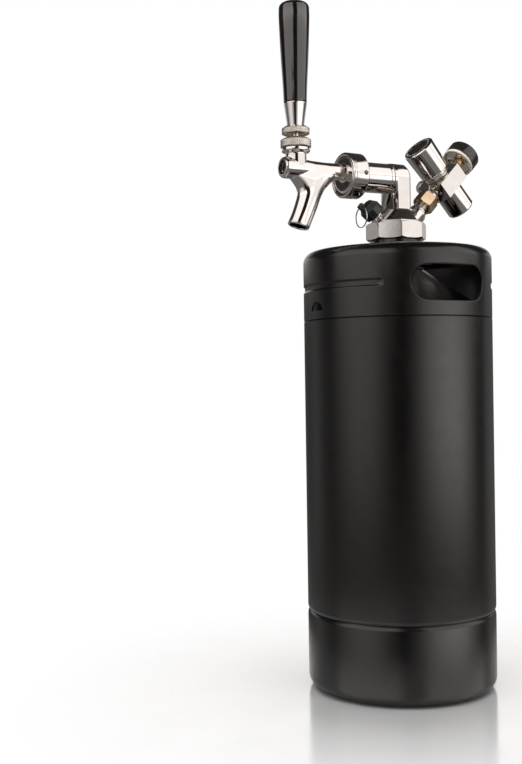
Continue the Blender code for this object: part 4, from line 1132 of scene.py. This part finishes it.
def overhead_light():
    """A soft square panel high over the keg, which the metal doesn't mirror."""
    data = bpy.data.lights.new("overhead", "AREA")
    data.shape, data.size, data.energy = "SQUARE", OVERHEAD_SIZE, OVERHEAD_WATTS
    made = add("overhead", data)
    turn, rise = math.radians(VIEW_AZIMUTH), math.radians(OVERHEAD_ELEVATION)
    out = Vector((math.cos(turn) * math.cos(rise), math.sin(turn) * math.cos(rise), math.sin(rise)))
    place = Matrix.Translation(Z * AIM_Z + out * OVERHEAD_DISTANCE)
    made.matrix_world = place @ out.to_track_quat("Z", "Y").to_matrix().to_4x4()
    made.visible_camera = made.visible_glossy = False


# Brightness round the room at (azimuth, level) stops, for each band of elevations that the metal mirrors.
KEG_ROOM = [
    (-180, 0.10), (-146, 0.10), (-124, 0.32), (-108, 0.16), (-94, 0.10), (-82, 0.35), (-60, 0.85),
    (-40, 0.80), (-28, 0.45), (-18, 0.15), (-10, 0.0), (0, 0.0), (10, 0.18), (20, 0.65), (32, 1.35),
    (45, 1.9), (60, 2.1), (73, 1.7), (87, 0.7), (100, 0.10), (112, 0.08), (124, 0.28), (150, 0.15),
    (180, 0.10),
]
NUT_ROOM = [
    (-180, 0.9), (-150, 0.9), (-130, 0.42), (-114, 0.30), (-108, 0.03), (-88, 0.03), (-84, 1.02),
    (-29.9, 1.02), (-28.6, 0.012), (17, 0.012), (21, 1.05), (105, 1.05), (111, 0.03), (124, 0.03),
    (130, 0.45), (155, 0.50), (164, 0.9), (180, 0.9),
]
TAP_ROOM = [
    (-180, 0.95), (-150, 0.90), (-131, 0.55), (-127, 0.03), (-88, 0.03), (-84, 1.02), (-12, 1.02),
    (-9, 0.012), (19, 0.012), (23, 1.05), (105, 1.05), (111, 0.03), (124, 0.03), (130, 0.62), (152, 0.70),
    (162, 0.9), (180, 0.95),
]
HIGH_ROOM = [
    (-180, 0.95), (-158, 0.95), (-150, 0.05), (-93, 0.05), (-88, 1.5), (-8, 1.5), (-5, 0.012), (22, 0.012),
    (25, 1.5), (104, 1.5), (110, 0.05), (150, 0.05), (158, 0.95), (180, 0.95),
]
UPPER_ROOM = [
    (-180, 0.05), (-93, 0.05), (-88, 1.2), (-12, 1.2), (-9, 0.012), (20, 0.012), (24, 1.2), (104, 1.2),
    (110, 0.05), (180, 0.05),
]
# Each band takes over from the one below it between two elevations, in degrees.
BANDS = [(NUT_ROOM, 5.4, 6.4), (TAP_ROOM, 8.6, 9.4), (HIGH_ROOM, 14.4, 16.0), (UPPER_ROOM, 20.0, 24.0)]
FLOOR_GLOW, GLOW_ENDS = (0.17, 0.165, 0.16, 1.0), (-20.0, -6.0)
CEILING, CEILING_STARTS = (0.035, 0.031, 0.028, 1.0), (49.0, 55.0)


def world():
    """White for the camera. For what mirrors it, a dark room with pale walls to each side."""
    made = bpy.data.worlds.new("studio")
    bpy.context.scene.world = made
    made.use_nodes = True
    tree = made.node_tree
    tree.nodes.clear()
    new, link = tree.nodes.new, tree.links.new
    place = new("ShaderNodeTexCoord").outputs["Generated"]
    split = new("ShaderNodeSeparateXYZ")
    link(place, split.inputs[0])

    def math_node(operation, first, second=0.0, third=None):
        node = new("ShaderNodeMath")
        node.operation = operation
        for i, value in enumerate((first, second, third)):
            if value is None:
                continue
            if isinstance(value, (int, float)):
                node.inputs[i].default_value = value
            else:
                link(value, node.inputs[i])
        return node.outputs[0]

    turn = math.radians(VIEW_AZIMUTH)
    x, y = split.outputs[0], split.outputs[1]
    towards = math_node(
        "ADD", math_node("MULTIPLY", x, math.cos(turn)), math_node("MULTIPLY", y, math.sin(turn)),
    )
    right = math_node(
        "ADD", math_node("MULTIPLY", x, -math.sin(turn)), math_node("MULTIPLY", y, math.cos(turn)),
    )
    azimuth = math_node("MULTIPLY", math_node("ARCTAN2", right, towards), 180 / math.pi)
    around = math_node("MULTIPLY_ADD", azimuth, 1 / 360, 0.5)
    elevation = math_node("MULTIPLY", math_node("ARCSINE", split.outputs[2]), 180 / math.pi)

    def room_level(levels):
        ramp = new("ShaderNodeValToRGB")
        link(around, ramp.inputs[0])
        elements = ramp.color_ramp.elements
        elements[0].position, elements[1].position = 0.0, 1.0
        for angle, _ in levels[1:-1]:
            elements.new(angle / 360 + 0.5)
        for element, (angle, level) in zip(elements, levels):
            element.color = (level, level * 0.975, level * 0.96, 1.0)
        return ramp.outputs[0]

    def blend(first, second, start, end):
        """FIRST below the START elevation, SECOND above END."""
        slope = new("ShaderNodeMapRange")
        slope.interpolation_type = "SMOOTHSTEP"
        for socket, number in (("From Min", start), ("From Max", end), ("To Min", 0.0), ("To Max", 1.0)):
            slope.inputs[socket].default_value = number
        link(elevation, slope.inputs["Value"])
        mix = new("ShaderNodeMix")
        mix.data_type = "RGBA"
        link(slope.outputs[0], mix.inputs[0])
        for socket, value in ((6, first), (7, second)):
            if isinstance(value, tuple):
                mix.inputs[socket].default_value = value
            else:
                link(value, mix.inputs[socket])
        return mix.outputs[2]

    lit = room_level(KEG_ROOM)
    for levels, start, end in BANDS:
        lit = blend(lit, room_level(levels), start, end)
    lit = blend(FLOOR_GLOW, lit, *GLOW_ENDS)
    lit = blend(lit, CEILING, *CEILING_STARTS)
    seen = new("ShaderNodeBackground")
    seen.inputs[0].default_value = (1, 1, 1, 1)
    seen.inputs[1].default_value = 1.0
    room = new("ShaderNodeBackground")
    link(lit, room.inputs[0])
    room.inputs[1].default_value = 1.0
    path = new("ShaderNodeLightPath")
    choice = new("ShaderNodeMixShader")
    link(path.outputs["Is Camera Ray"], choice.inputs[0])
    link(room.outputs[0], choice.inputs[1])
    link(seen.outputs[0], choice.inputs[2])
    link(choice.outputs[0], new("ShaderNodeOutputWorld").inputs[0])


keg_collar()
weld_seams()
keg_vessel()
keg_skirt()
keg_neck()
head_nut()
head_cone()
post()
faucet()
shank()
lever()
relief_valve()
gas_connection()
regulator()
knob()
cartridge_holder()
side_valve()
gauge()
springs()
dress_cad()
camera()
floor()
world()
overhead_light()

bpy.context.scene.view_settings.view_transform = "Standard"
